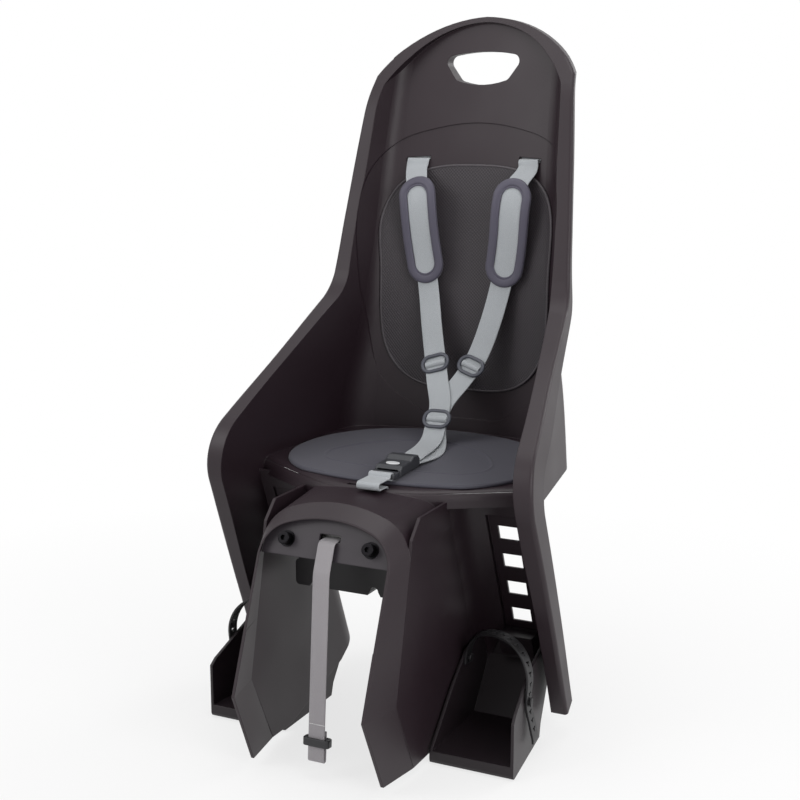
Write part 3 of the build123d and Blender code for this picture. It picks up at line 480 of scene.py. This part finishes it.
def rounded_rectangle(width: float, height: float, radius: float, turn: int = 8,
                      side: int = 8) -> tuple[Array, Array]:
    """Rounded rectangle about the origin.

    Each corner is a quarter circle of directions n about the corner's middle; the runs between them
    keep the direction of their two ends.

    Args:
        width: full width.
        height: full height.
        radius: corner radius.
        turn: steps in each corner.
        side: steps in each straight side.
    Returns:
        Points of the outline, and the outward direction at each.
    """
    quarter = np.linspace(0, math.pi / 2, turn + 1)
    angle = quarter + np.arange(4)[:, None] * math.pi / 2
    out = np.stack([np.cos(angle), np.sin(angle)], axis=-1)
    signs = np.array([[1, 1], [-1, 1], [-1, -1], [1, -1]])
    corner = signs[:, None] * np.array([width / 2 - radius, height / 2 - radius]) + radius * out
    ends, t = np.roll(corner[:, 0], -1, axis=0), np.linspace(0, 1, side + 1)[1:-1, None]
    runs = corner[:, None, -1] * (1 - t) + ends[:, None] * t
    ways = np.repeat(out[:, -1:], side - 1, axis=1)
    points = np.concatenate([corner, runs], axis=1).reshape(-1, 2)
    return points, np.concatenate([out, ways], axis=1).reshape(-1, 2)


# Meshes
def skin(name: str, rings: Array, wrap: bool = False, u: Array | None = None,
         v: Array | None = None) -> bpy.types.Object:
    """Closed surface over rings of points.

    Quad (i, j) joins points j and j + 1 of rings i and i + 1. The rings close on themselves, and the
    ends either join each other or close with a fan to their middle. The faces are turned outwards by
    the sign of the volume, a sixth of the sum of a . (b x c) over its triangles.

    Args:
        name: name of the new object.
        rings: array of rings by points by 3, in millimetres.
        wrap: whether the last ring joins the first.
        u: texture coordinate of each ring, in metres.
        v: texture coordinate of each point round a ring and of the first point again, in metres.
    Returns:
        The new object.
    """
    n, m = rings.shape[:2]
    i, j = np.meshgrid(np.arange(n if wrap else n - 1), np.arange(m), indexing="ij")
    a, b = (i * m + j).ravel(), (i * m + (j + 1) % m).ravel()
    c, d = ((i + 1) % n * m + (j + 1) % m).ravel(), ((i + 1) % n * m + j).ravel()
    quads = np.stack([a, b, c, d], axis=-1)
    points, fans = rings.reshape(-1, 3), np.zeros((0, 3), int)
    if not wrap:
        points = np.concatenate([points, rings[[0, -1]].mean(axis=1)])
        k = np.arange(m)
        first = np.stack([np.full(m, n * m), (k + 1) % m, k], axis=-1)
        last = np.stack([np.full(m, n * m + 1), (n - 1) * m + k, (n - 1) * m + (k + 1) % m], axis=-1)
        fans = np.concatenate([first, last])
    triangles = np.concatenate([quads[:, :3], quads[:, [0, 2, 3]], fans])
    p, q, r = (points[triangles[:, k]] for k in range(3))
    order = 1 if np.einsum("ij,ij->", p, np.cross(q, r)) > 0 else -1
    mesh = bpy.data.meshes.new(name)
    mesh.from_pydata((points * MM).tolist(), [], quads[:, ::order].tolist() + fans[:, ::order].tolist())
    mesh.polygons.foreach_set("use_smooth", np.ones(len(mesh.polygons), bool))
    if u is not None:
        across = np.stack([u[i], u[i], u[i + 1], u[i + 1]], axis=-1).reshape(-1, 4)
        round_ = np.stack([v[j], v[j + 1], v[j + 1], v[j]], axis=-1).reshape(-1, 4)
        corners = np.stack([across, round_], axis=-1)[:, ::order].reshape(-1, 2)
        ends = np.zeros((3 * len(fans), 2))
        mesh.uv_layers.new(name="strap").data.foreach_set("uv", np.concatenate([corners, ends]).ravel())
    obj = bpy.data.objects.new(name, mesh)
    bpy.context.scene.collection.objects.link(obj)
    return obj


def place_piece(obj: bpy.types.Object, finish: Finish, replaced: tuple[str, ...] = (),
                body: str = "seat") -> None:
    """Gives a finished piece its material and body, and hides the CAD nodes that it stands for.

    Args:
        obj: the piece.
        finish: its finish.
        replaced: CAD nodes that it stands for.
        body: body that it rides on.
    """
    obj.data.materials.append(finish.material())
    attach(obj, body)
    if replaced:
        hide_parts(*replaced)
    log.info("%s: %d faces, %s", obj.name, len(obj.data.polygons), finish.name)


class Run:
    """Line of a strap, with the direction of its width and of its face at every point."""

    def __init__(self, points: Array, across: Any = (1.0, 0.0, 0.0)) -> None:
        """Works out the directions.

        The width is the given axis less its part along the line, and the face is line x width.

        Args:
            points: points along the line, in millimetres.
            across: axis that the width keeps to, one for all points or one for each.
        """
        self.points = points
        self.line = np.gradient(points, axis=0)
        self.line /= np.linalg.norm(self.line, axis=1, keepdims=True)
        axis = np.broadcast_to(np.array(across, float), points.shape)
        wide = axis - self.line * (self.line * axis).sum(axis=1, keepdims=True)
        self.wide = wide / np.linalg.norm(wide, axis=1, keepdims=True)
        self.face = np.cross(self.line, self.wide)
        self.lengths = np.concatenate([[0], np.cumsum(np.linalg.norm(np.diff(points, axis=0), axis=1))])

    def at(self, along: Any, across: Any, out: Any) -> Array:
        """Points in the strap's own coordinates.

        Args:
            along: distances along the line.
            across: distances along the width.
            out: distances out of the face.
        Returns:
            Array of points with the shape of the three taken together.
        """
        along, across, out = np.broadcast_arrays(along, across, out)
        base, wide, face = (np.stack([np.interp(along, self.lengths, axis) for axis in field_.T], axis=-1)
                            for field_ in (self.points, self.wide, self.face))
        return base + wide * across[..., None] + face * out[..., None]

    def nearest(self, point: Array) -> float:
        """Distance along the line of its point nearest to a given one."""
        return float(self.lengths[np.linalg.norm(self.points - point, axis=1).argmin()])

    def tangent(self, along: float, reach: float = 60.0) -> "Run":
        """Straight line that touches this one at a distance along it.

        Args:
            along: where it touches.
            reach: how far it runs each way.
        Returns:
            The straight run; its own middle is where it touches.
        """
        i = int(np.abs(self.lengths - along).argmin())
        t = np.linspace(-reach, reach, 9)[:, None]
        return Run(self.points[i] + t * self.line[i], self.wide[i])


def strap(name: str, run: Run, width: float, step: float = 1.5) -> bpy.types.Object:
    """Flat strap along a run: a thin rectangle with round edges carried along it.

    Args:
        name: name of the new object.
        run: line that it follows.
        width: its width.
        step: distance between its rings.
    Returns:
        The new object, its UV in metres along and round it.
    """
    along = np.linspace(0, run.lengths[-1], int(run.lengths[-1] / step))
    section, _ = rounded_rectangle(width, WEB, WEB / 2 - HAIR, turn=4, side=10)
    rings = run.at(along[:, None], section[:, 0], section[:, 1])
    closed = np.concatenate([section, section[:1]])
    girth = np.concatenate([[0], np.cumsum(np.linalg.norm(np.diff(closed, axis=0), axis=1))])
    return skin(name, rings, u=along * MM, v=girth * MM)


def ring(name: str, run: Run, middle: float, size: Flat, radius: float, bar: Flat, lift: float,
         squareness: float = 0.75) -> bpy.types.Object:
    """Ring lying on a strap: an oval bar section carried round a rounded rectangle.

    A point at angle t of the section lies at the outline plus n * a cos t, and at lift + b sin t out
    of the strap's face. Sine and cosine are raised to a power below 1, which gives soft flats.

    Args:
        name: name of the new object.
        run: strap that it lies on.
        middle: distance of its middle along the run.
        size: width and length over the middle of the bar.
        radius: corner radius over the middle of the bar.
        bar: width and height of the bar.
        lift: height of the bar's middle over the strap's middle.
        squareness: the power, 1 for an oval bar and less for flatter sides.
    Returns:
        The new object.
    """
    outline, out = rounded_rectangle(*size, radius, turn=14, side=10)
    t = circle(20)
    side = bar[0] / 2 * np.sign(np.cos(t)) * np.abs(np.cos(t)) ** squareness
    up = bar[1] / 2 * np.sign(np.sin(t)) * np.abs(np.sin(t)) ** squareness
    spots = outline[:, None] + out[:, None] * side[None, :, None]
    return skin(name, run.at(middle + spots[..., 1], spots[..., 0], lift + up[None]), wrap=True)


def stitches(name: str, run: Run, along: float, width: float, out: float, pitch: float = 2.4,
             thread: float = 0.4) -> bpy.types.Object:
    """Row of sewn stitches across a strap, joined into one mesh.

    Each stitch is an ellipsoid of circles: radius r sin t at a distance -b cos t from its middle,
    where b is 0.42 of the pitch. The angle t stays clear of the poles by 0.25, where fans close it.

    Args:
        name: name of the new object.
        run: strap that is sewn.
        along: where the row lies.
        width: length of the row.
        out: height over the strap's middle.
        pitch: distance from stitch to stitch.
        thread: radius of a stitch.
    Returns:
        The new object.
    """
    t, turn = np.linspace(0.25, math.pi - 0.25, 6)[:, None], circle(8)
    ahead, up = thread * np.sin(t) * np.cos(turn), thread * np.sin(t) * np.sin(turn)
    across = -0.42 * pitch * np.cos(t)
    parts = []
    for i, middle in enumerate(np.arange(-width / 2 + pitch / 2, width / 2, pitch)):
        parts.append(skin(f"{name}_{i}", run.at(along + ahead, middle + across, out + up)))
    with bpy.context.temp_override(active_object=parts[0], selected_editable_objects=parts):
        bpy.ops.object.join()
    parts[0].name = name
    return parts[0]


# Harness
@dataclass
class ShoulderStrap:
    """One shoulder strap with its pad, its adjuster and the loop behind the back."""

    side: Side
    keeper: Point = (77.0, 339.6, 461.2)
    keeper_yaw: float = 12.0
    keeper_bar: Flat = (4.0, 12.0)
    keeper_play: float = 0.3
    loop: tuple[Flat, ...] = ((1, -0.35), (1, -1), (-1, -1), (-1, 1), (1, 1), (1, 0), (1.7, 0))
    loop_radii: tuple[float, ...] = (1.6, 1.6, 1.6, 1.6, 2.0)
    slot_exit: Point = (75.4, 327.0, 455.5)
    slot_reach: float = 5.5
    slot_drop: float = 0.6
    unwind: float = 12.0
    pad_top: Point = (70.5, 313.0, 438.0)
    pad_foot: Point = (49.5, 304.0, 304.0)
    pad_bow: float = 6.0
    lower: tuple[Point, ...] = ((39.5, 293.0, 255.0), (26.0, 276.0, 210.0), (12.0, 254.0, 183.5),
                                (0.0, 232.0, 157.0), (0.0, 222.6, 144.0))
    pad_size: Flat = (50.0, 137.0)
    window: Flat = (28.4, 112.0)
    pad_thick: float = 7.0
    pad_lift: float = 0.6
    lip_reach: float = 1.6
    lip_bar: Flat = (2.4, 2.2)
    lip_lift: float = 1.6
    cross_z: float = 205.0
    cross_reach: float = 20.0
    cross_lift: float = 1.2

    def line(self) -> Run:
        """Line from the loop behind the back to the split over the buckle.

        The loop's corners are given in half sizes of the webbing's path round the keeper bar. The
        width turns from the keeper's to X over a short height below the slot. Below the crossing
        the right strap rises over the left one, which sinks as much.

        Returns:
            The run, mirrored for the child's right.
        """
        yaw = math.radians(self.keeper_yaw)
        out = np.array([-math.sin(yaw), -math.cos(yaw), 0.0])
        keeper, up = np.array(self.keeper), np.array([0.0, 0.0, 1.0])
        y, z = (size / 2 + self.keeper_play + WEB / 2 for size in self.keeper_bar)
        back = rounded_line([keeper + out * y * a + up * z * b for a, b in self.loop], self.loop_radii)
        top, foot = np.array(self.pad_top), np.array(self.pad_foot)
        fall = (foot - top) / np.linalg.norm(foot - top)
        bow = np.cross(fall, (1.0, 0.0, 0.0)) * self.pad_bow
        mouth = back[-1] + out * self.slot_reach - up * self.slot_drop
        points = [back[-1], mouth, self.slot_exit, top, (top + foot) / 2 + bow, foot, *self.lower]
        front = spline(points, out, TOWARDS_BUCKLE, count=420)
        axis = np.array([math.cos(yaw), -math.sin(yaw), 0.0])
        along_x = np.tile((1.0, 0.0, 0.0), (len(front), 1))
        across = np.concatenate([np.tile(axis, (len(back) - 1, 1)), along_x])
        points = np.concatenate([back[:-1], front])
        blend = np.clip((points[:, 2] - self.slot_exit[2] + self.unwind) / self.unwind, 0, 1)[:, None]
        across = across * (1 - blend) + blend * axis
        flip = np.array([self.side.value, 1, 1])
        run = Run(points * flip, across * flip * self.side.value)
        lift = np.clip((self.cross_z - points[:, 2]) / self.cross_reach, 0, 1)
        return Run(run.points - run.face * (self.side.value * self.cross_lift * lift[:, None]), run.wide)

    def build(self) -> None:
        """Builds the strap, the pad's rim and lip, the adjuster and its roll of webbing."""
        word, run = self.side.word, self.line()
        webbing = strap(f"shoulder_webbing_{word}", run, HARNESS_WIDTH)
        place_piece(webbing, WEBBING, (f"shoulder_strap_{word}",))
        flip = (self.side.value, 1, 1)
        middle = sum(run.nearest(np.array(end) * flip) for end in (self.pad_top, self.pad_foot)) / 2
        rim = (self.pad_size[0] - self.window[0]) / 2
        size = (self.pad_size[0] - rim, self.pad_size[1] - rim)
        pad = ring(f"shoulder_cushion_{word}", run, middle, size, size[0] / 2 - HAIR,
                   (rim, self.pad_thick), self.pad_lift)
        place_piece(pad, RIM_FOAM, (f"shoulder_pad_{word}",))
        size = (self.window[0] + self.lip_reach, self.window[1] + self.lip_reach)
        lip = ring(f"shoulder_cushion_lip_{word}", run, middle, size, size[0] / 2 - HAIR,
                   self.lip_bar, self.lip_lift)
        place_piece(lip, RIM_FOAM)
        Adjuster(f"adjuster_{word}").build(run)


@dataclass
class Adjuster:
    """Ring that the strap is threaded through, with its roll of webbing over the middle bar."""

    node: str
    size: Flat = (38.0, 26.0)
    bar: Flat = (4.6, 4.2)
    flat: float = 0.5
    lift: float = 2.6
    roll_radius: float = 3.4
    roll_turn: Flat = (-35.0, 215.0)
    roll_lift: float = 0.6
    roll_margin: float = 1.5

    def build(self, run: Run) -> None:
        """Builds the ring and the roll where the CAD adjuster sits on the strap.

        Args:
            run: the strap that it is on.
        """
        low, high = (np.array(corner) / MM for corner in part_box(self.node))
        level = run.tangent(run.nearest((low + high) / 2))
        middle = float(level.lengths[-1]) / 2
        size = (self.size[0] - self.bar[0], self.size[1] - self.bar[0])
        oval = ring(f"{self.node}_ring", level, middle, size, size[1] / 2 - self.flat, self.bar, self.lift)
        place_piece(oval, ADJUSTER_PLASTIC, (self.node,))
        turn = np.linspace(*np.radians(self.roll_turn), 40)
        up = self.roll_lift + self.roll_radius * np.sin(turn)
        arch = Run(level.at(middle - self.roll_radius * np.cos(turn), 0.0, up), level.wide[0])
        roll = strap(f"{self.node}_webbing_roll", arch, HARNESS_WIDTH - self.roll_margin, step=0.6)
        place_piece(roll, WEBBING)


@dataclass
class LowerWebbing:
    """Two layers of webbing from the lower adjuster to the buckle; the under layer sags aside."""

    upper: tuple[Point, ...] = ((0.0, 222.1, 143.4), (1.0, 210.0, 128.6), (3.0, 190.0, 121.6),
                                (7.0, 155.0, 120.3), (11.0, 107.0, 119.9))
    under: tuple[Point, ...] = ((0.0, 222.6, 141.6), (4.0, 210.5, 124.6), (12.0, 190.0, 117.8),
                                (18.0, 155.0, 116.4), (13.0, 107.0, 118.0))

    def build(self) -> None:
        """Builds both layers."""
        for name, points, nodes in (("lower_webbing_upper", self.upper, ("lower_webbing",)),
                                    ("lower_webbing_under", self.under, ())):
            line = spline(list(points), TOWARDS_BUCKLE, (0.0, -1.0, 0.0))
            place_piece(strap(name, Run(line), HARNESS_WIDTH), WEBBING, nodes)


@dataclass
class CrotchStrap:
    """Strap from its bar under the deck, over in a fold and round the tongue's bar."""

    x: float = 11.0
    line: tuple[Flat, ...] = ((47.0, 113.5), (51.1, 113.5), (51.1, 120.9), (44.9, 120.9), (42.8, 116.4),
                              (14.5, 116.4), (14.5, 108.7), (38.0, 108.7), (38.0, 98.5))
    radii: tuple[float, ...] = (1.5, 1.5, 1.5, 1.5, 3.6, 3.6, 3.0)
    loop_at: Flat = (38.0, 95.4)
    loop_size: Flat = (14.2, 6.2)
    loop_radius: float = 1.6
    step: float = 0.8

    def build(self) -> None:
        """Builds the strap with its loop round the tongue and the one round its anchor."""
        line = rounded_line([(self.x, y, z) for y, z in self.line], self.radii)
        webbing = strap("crotch_webbing", Run(even(line, 200)), HARNESS_WIDTH, self.step)
        place_piece(webbing, WEBBING, ("crotch_strap",))
        y, z = (rounded_rectangle(*self.loop_size, self.loop_radius)[0] + self.loop_at).T
        points = np.stack([np.full(len(y), self.x), y, z], axis=-1)
        closed = np.concatenate([points, points[:2]])
        loop = strap("crotch_webbing_loop", Run(even(closed, 90)), HARNESS_WIDTH, self.step)
        place_piece(loop, WEBBING)


@dataclass
class SafetyStrap:
    """Strap that leaves the plate's slot, falls in front of it and folds back through its slider."""

    width: float = 20.0
    front: tuple[Flat, ...] = ((-38.0, 67.4), (-60.0, 67.4), (-73.0, 35.0), (-89.5, -172.0),
                               (-85.0, -172.0), (-82.4, -138.0))
    radii: tuple[float, ...] = (7.0, 30.0, 2.2, 2.2)
    falling: float = 0.85
    stitch_z: float = -130.0
    stitch_margin: float = 2.0

    def build(self) -> None:
        """Builds the strap, and the row of stitches over its fold, on the share that falls."""
        line = rounded_line([(0.0, y, z) for y, z in self.front], self.radii)
        run = Run(even(line, 400))
        webbing = strap("safety_webbing", run, self.width)
        place_piece(webbing, SAFETY_WEBBING, ("safety_strap",))
        falling = run.lengths < run.lengths[-1] * self.falling
        along = float(run.lengths[falling][np.abs(run.points[falling, 2] - self.stitch_z).argmin()])
        row = stitches("safety_webbing_stitches", run, along, self.width - self.stitch_margin, WEB / 2)
        place_piece(row, THREAD)


# Pads
@dataclass
class Cushion:
    """Pressed cushion with a rounded edge, whose underside runs back towards its middle."""

    thick: float
    edge: float
    rows: int
    columns: int
    turns: int
    under: tuple[Flat, ...]
    hub: float = 0.02

    def surface(self, reach: Array) -> tuple[Array, Array]:
        """Rows of the surface: out over the top, over the edge and back underneath.

        Inside the rounding the rows run evenly at full height. On it the distance from the edge is
        r (1 - sin t) and the height thick - r + r cos t. The rows underneath take their distance
        from the edge and their height from the pairs of under, and stop short at the hub.

        Args:
            reach: distance of each point of the outline from the middle.
        Returns:
            Share of the way out from the middle, and height, both in rows by columns.
        """
        t = np.linspace(0, math.pi / 2, self.turns + 1)[1:, None]
        distance, level = np.array(self.under).T[..., None]
        top = np.linspace(1 / self.rows, 1, self.rows)[:, None] * (1 - self.edge / reach)
        rounding = 1 - self.edge * (1 - np.sin(t)) / reach
        share = np.concatenate([top, rounding, np.clip(1 - distance / reach, self.hub, 1)])
        height = np.full(share.shape, self.thick)
        height[self.rows:self.rows + self.turns] += self.edge * (np.cos(t) - 1)
        height[self.rows + self.turns:] = level
        return share, height


@dataclass
class SeatPad(Cushion):
    """Pressed foam pad on the deck, with an embossed lens-shaped line."""

    thick: float = 5.0
    edge: float = 2.6
    rows: int = 110
    columns: int = 320
    turns: int = 6
    under: tuple[Flat, ...] = ((0.0, 0.7), (0.5, 0.15), (12.0, 0.15), (60.0, 0.15))
    middle: Flat = (0.0, 165.0)
    deck: Flat = (110.0, 109.0)  # Y and Z of one of its points
    deck_slope: float = 0.03
    fall: float = 0.9
    bead: Flat = (1.0, 1.5)  # height and half-width
    panel: Flat = (0.35, 1.2)  # drop and softness
    outline: tuple[tuple[Flat, Flat, Flat], ...] = (
        ((0.0, 48.0), (50.6, 52.0), (100.0, 64.0)), ((100.0, 64.0), (140.0, 100.0), (156.0, 155.0)),
        ((156.0, 155.0), (128.0, 240.0), (60.0, 284.0)), ((60.0, 284.0), (30.2, 290.0), (0.0, 292.0)))
    emboss: tuple[tuple[Flat, Flat, Flat], ...] = (
        ((0.0, 97.0), (42.0, 98.5), (80.0, 104.0)), ((80.0, 104.0), (104.0, 130.0), (99.0, 162.0)),
        ((99.0, 162.0), (62.0, 208.0), (0.0, 231.0)))

    def mirrored(self, arcs: tuple[tuple[Flat, Flat, Flat], ...]) -> Array:
        """Closed line from arcs of its right half, front to rear."""
        half = np.concatenate([arc(*points) for points in arcs])
        return np.concatenate([half, half[::-1] * (-1, 1)])

    def emboss_radius(self, turn: Array) -> Array:
        """Distance of the embossed line from the middle.

        Args:
            turn: angles round the middle.
        Returns:
            The distance at each angle.
        """
        line = even(self.mirrored(self.emboss), 600, closed=True) - self.middle
        angle = np.arctan2(line[:, 1], line[:, 0])
        order = np.argsort(angle)
        return np.interp(turn, angle[order], np.hypot(*line[order].T), period=2 * math.pi)

    def build(self) -> None:
        """Builds the pad.

        A point lies at middle + s * (outline - middle). The top falls by s^4. At a distance d
        outside the embossed line it rises by a bead of exp(-(d / w)^2), and inside it a panel lies
        lower by 1 / (1 + exp(d / w)). The deck under it is a plane that rises with Y.
        """
        outline = even(self.mirrored(self.outline), self.columns, closed=True) - self.middle
        reach = np.linalg.norm(outline, axis=1)
        s, height = self.surface(reach)
        d = s * reach - self.emboss_radius(np.arctan2(outline[:, 1], outline[:, 0]))
        bead = self.bead[0] * np.exp(-(d / self.bead[1]) ** 2)
        relief = bead - self.panel[0] / (1 + np.exp(d / self.panel[1])) - self.fall * s ** 4
        top = np.arange(len(s)) < self.rows + self.turns
        height += np.where(top[:, None], relief, 0)
        x, y = self.middle[0] + s * outline[:, 0], self.middle[1] + s * outline[:, 1]
        deck = self.deck[1] + self.deck_slope * (y - self.deck[0])
        pad = skin("seat_cushion", np.stack([x, y, deck + height], axis=-1))
        place_piece(pad, SEAT_FOAM, ("seat_pad",))


@dataclass
class BackPad(Cushion):
    """Thin textured pad that follows the hollow of the back, with a raised bead along its edge."""

    thick: float = 2.2
    edge: float = 1.4
    rows: int = 44
    columns: int = 260
    turns: int = 5
    under: tuple[Flat, ...] = ((0.0, 0.0), (15.0, 0.0), (60.0, 0.0), (95.0, 0.0))
    half: tuple[Flat, ...] = ((0.0, 455.0), (59.0, 450.0), (98.0, 429.0), (115.0, 395.0), (116.0, 330.0),
                              (115.0, 257.0), (105.0, 211.0), (77.0, 180.0), (0.0, 168.0))
    middle_z: float = 315.0
    gap: float = 0.3
    ray_y: float = 100.0
    bead_inset: float = 1.8
    bead_radius: float = 1.4
    bead_sink: float = 0.4

    def shell_y(self, x: Array, z: Array) -> Array:
        """Depth at which rays from the front meet the back of the shell.

        Args:
            x: where each ray starts, across.
            z: where each ray starts, in height.
        Returns:
            Y of each hit in millimetres, in the shape of x.
        """
        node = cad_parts["seat_shell"]
        turned = node.matrix_world.inverted()
        way = (turned.to_3x3() @ Vector((0, 1, 0))).normalized()
        starts = zip(x.ravel().tolist(), z.ravel().tolist())
        hits = [node.ray_cast(turned @ (Vector((i, self.ray_y, k)) * MM), way) for i, k in starts]
        return np.array([(node.matrix_world @ hit[1]).y / MM for hit in hits]).reshape(x.shape)

    def build(self) -> None:
        """Builds the pad and its bead.

        A point lies at s times the outline round the middle, and at shell - gap - height in depth.
        The bead is a round bar a little inside the outline, partly sunk into the top.
        """
        points = [(x, 0.0, z - self.middle_z) for x, z in self.half]
        right = spline(points, (1.0, 0.0, 0.0), (-1.0, 0.0, 0.0))
        line = even(np.concatenate([right, right[::-1] * (-1, 1, 1)]), self.columns, closed=True)[:, [0, 2]]
        reach = np.linalg.norm(line, axis=1)
        s, height = self.surface(reach)
        x, z = s * line[:, 0], self.middle_z + s * line[:, 1]
        pad = skin("back_cushion", np.stack([x, self.shell_y(x, z) - self.gap - height, z], axis=-1))
        place_piece(pad, BACK_FOAM, ("back_pad",))
        s = 1 - self.bead_inset / reach
        x, z = s * line[:, 0], self.middle_z + s * line[:, 1]
        path = np.stack([x, self.shell_y(x, z) - self.gap - self.thick + self.bead_sink, z], axis=-1)
        run = Run(np.concatenate([path[-1:], path, path[:2]]), (0.0, 1.0, 0.0))
        side, up = self.bead_radius * np.cos(circle(12)), self.bead_radius * np.sin(circle(12))
        bead = skin("back_pad_bead", run.at(run.lengths[1:-2, None], side, up), wrap=True)
        place_piece(bead, BEAD_FOAM)


# Studio
@dataclass(frozen=True)
class Softbox:
    """Square lamp with its side in millimetres and its power in watts."""

    name: str
    at: Point
    size: float
    power: float

    def build(self, aim: Point) -> None:
        """Adds the lamp.

        Args:
            aim: point that it faces, in millimetres.
        """
        lamp = bpy.data.lights.new(self.name, "AREA")
        lamp.size, lamp.energy = self.size * MM, self.power
        obj = bpy.data.objects.new(self.name, lamp)
        obj.location = Vector(self.at) * MM
        obj.rotation_euler = (Vector(aim) - Vector(self.at)).to_track_quat("-Z", "Y").to_euler()
        bpy.context.scene.collection.objects.link(obj)


@dataclass
class Studio:
    """Pale floor, white background, soft lights and the camera of the photograph."""

    camera_at: Point = (697.0, -1318.0, 512.0)
    yaw: float = 25.87
    pitch: float = 11.39
    lens: float = 63.0
    sensor: float = 36.0
    aim: Point = (0.0, 150.0, 200.0)
    floor_z: float = -193.5
    floor_reach: float = 12000.0
    paper: float = 0.9
    ambient: float = 0.5
    glow: float = 0.72
    pool: Flat = (350.0, 1100.0)  # radii between which the shadow fades
    lamps: tuple[Softbox, ...] = (
        Softbox("key softbox", (-1500.0, -1500.0, 1500.0), 1200.0, 15.0),
        Softbox("fill softbox", (1900.0, -900.0, 900.0), 1200.0, 17.0),
        Softbox("top softbox", (0.0, 100.0, 2200.0), 1200.0, 12.0),
        Softbox("rear softbox", (900.0, 1800.0, 1100.0), 900.0, 10.0))

    def build(self) -> None:
        """Builds the world, the floor, the lights and the camera."""
        scene = bpy.context.scene
        scene.view_settings.view_transform = "Standard"
        self.build_world(scene)
        self.build_floor()
        for lamp in self.lamps:
            lamp.build(self.aim)
        camera = bpy.data.cameras.new("camera")
        camera.lens, camera.sensor_width = self.lens, self.sensor
        obj = bpy.data.objects.new("camera", camera)
        obj.location = Vector(self.camera_at) * MM
        obj.rotation_euler = (math.radians(90 - self.pitch), 0, math.radians(self.yaw))
        scene.collection.objects.link(obj)
        scene.camera = obj

    def seen(self, tree: bpy.types.NodeTree) -> bpy.types.NodeSocket:
        """Socket that is 1 for camera, glossy and transmission rays."""
        path = add_node(tree, "ShaderNodeLightPath").outputs
        glossy = maths(tree, "MAXIMUM", path["Is Camera Ray"], path["Is Glossy Ray"])
        return maths(tree, "MAXIMUM", glossy, path["Is Transmission Ray"])

    def build_world(self, scene: bpy.types.Scene) -> None:
        """Makes a soft grey world that looks white.

        Args:
            scene: scene that takes the world.
        """
        world = bpy.data.worlds.new("studio white")
        world.use_nodes = True
        tree = world.node_tree
        shader = tree.nodes["Background"]
        shader.inputs["Color"].default_value = (1, 1, 1, 1)
        spread = {0: self.seen(tree), "To Min": self.ambient, "To Max": 1.0}
        tree.links.new(add_node(tree, "ShaderNodeMapRange", spread).outputs[0], shader.inputs["Strength"])
        scene.world = world

    def build_floor(self) -> None:
        """Makes the floor, which the camera sees as white with the object's shadow.

        Seen rays get a share of plain white. It grows from the glow under the seat to 1 over the
        two distances of the pool, so that the shadow stays and the rest of the floor is white.
        """
        mesh = bpy.data.meshes.new("floor")
        reach, z = self.floor_reach * MM, self.floor_z * MM
        corners = [(-reach, -reach, z), (reach, -reach, z), (reach, reach, z), (-reach, reach, z)]
        mesh.from_pydata(corners, [], [(0, 1, 2, 3)])
        floor = bpy.data.objects.new("floor", mesh)
        bpy.context.scene.collection.objects.link(floor)
        material = bpy.data.materials.new("floor paper")
        material.use_nodes = True
        tree = material.node_tree
        shader = tree.nodes["Principled BSDF"]
        shader.inputs["Base Color"].default_value = (self.paper, self.paper, self.paper, 1)
        shader.inputs["Roughness"].default_value = 1.0
        shader.inputs["Specular IOR Level"].default_value = 0.0
        glow = add_node(tree, "ShaderNodeEmission", {"Color": (1, 1, 1, 1), "Strength": 1.0})
        place = add_node(tree, "ShaderNodeTexCoord").outputs["Object"]
        away = add_node(tree, "ShaderNodeVectorMath", {0: place}, operation="LENGTH").outputs["Value"]
        fade = {0: away, 1: self.pool[0] * MM, 2: self.pool[1] * MM, 3: self.glow, 4: 1.0}
        faded = add_node(tree, "ShaderNodeMapRange", fade).outputs[0]
        share = maths(tree, "MULTIPLY", self.seen(tree), faded)
        mix = add_node(tree, "ShaderNodeMixShader", {0: share, 1: shader.outputs[0], 2: glow.outputs[0]})
        tree.links.new(mix.outputs[0], tree.nodes["Material Output"].inputs["Surface"])
        mesh.materials.append(material)


def dress_cad() -> None:
    """Gives every CAD node that stays its finish."""
    finishes = dict(CAD_FINISHES)
    for side in Side:
        finishes.update({f"{node}_{side.word}": finish for node, finish in SIDE_FINISHES.items()})
    for node, finish in finishes.items():
        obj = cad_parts[node]
        if not obj.material_slots:
            obj.data.materials.append(finish.material())
        for slot in obj.material_slots:
            slot.material = finish.material()
        log.info("%s: CAD node, %s", node, finish.name)


def main() -> None:
    """Builds the object's soft parts, its finishes and the studio."""
    logging.basicConfig(level=logging.INFO, format="%(name)s %(message)s")
    dress_cad()
    for side in Side:
        ShoulderStrap(side).build()
    Adjuster("adjuster_lower").build(ShoulderStrap(Side.LEFT).line())
    LowerWebbing().build()
    CrotchStrap().build()
    SafetyStrap().build()
    SeatPad().build()
    BackPad().build()
    Studio().build()


if __name__ == "__main__":
    main()
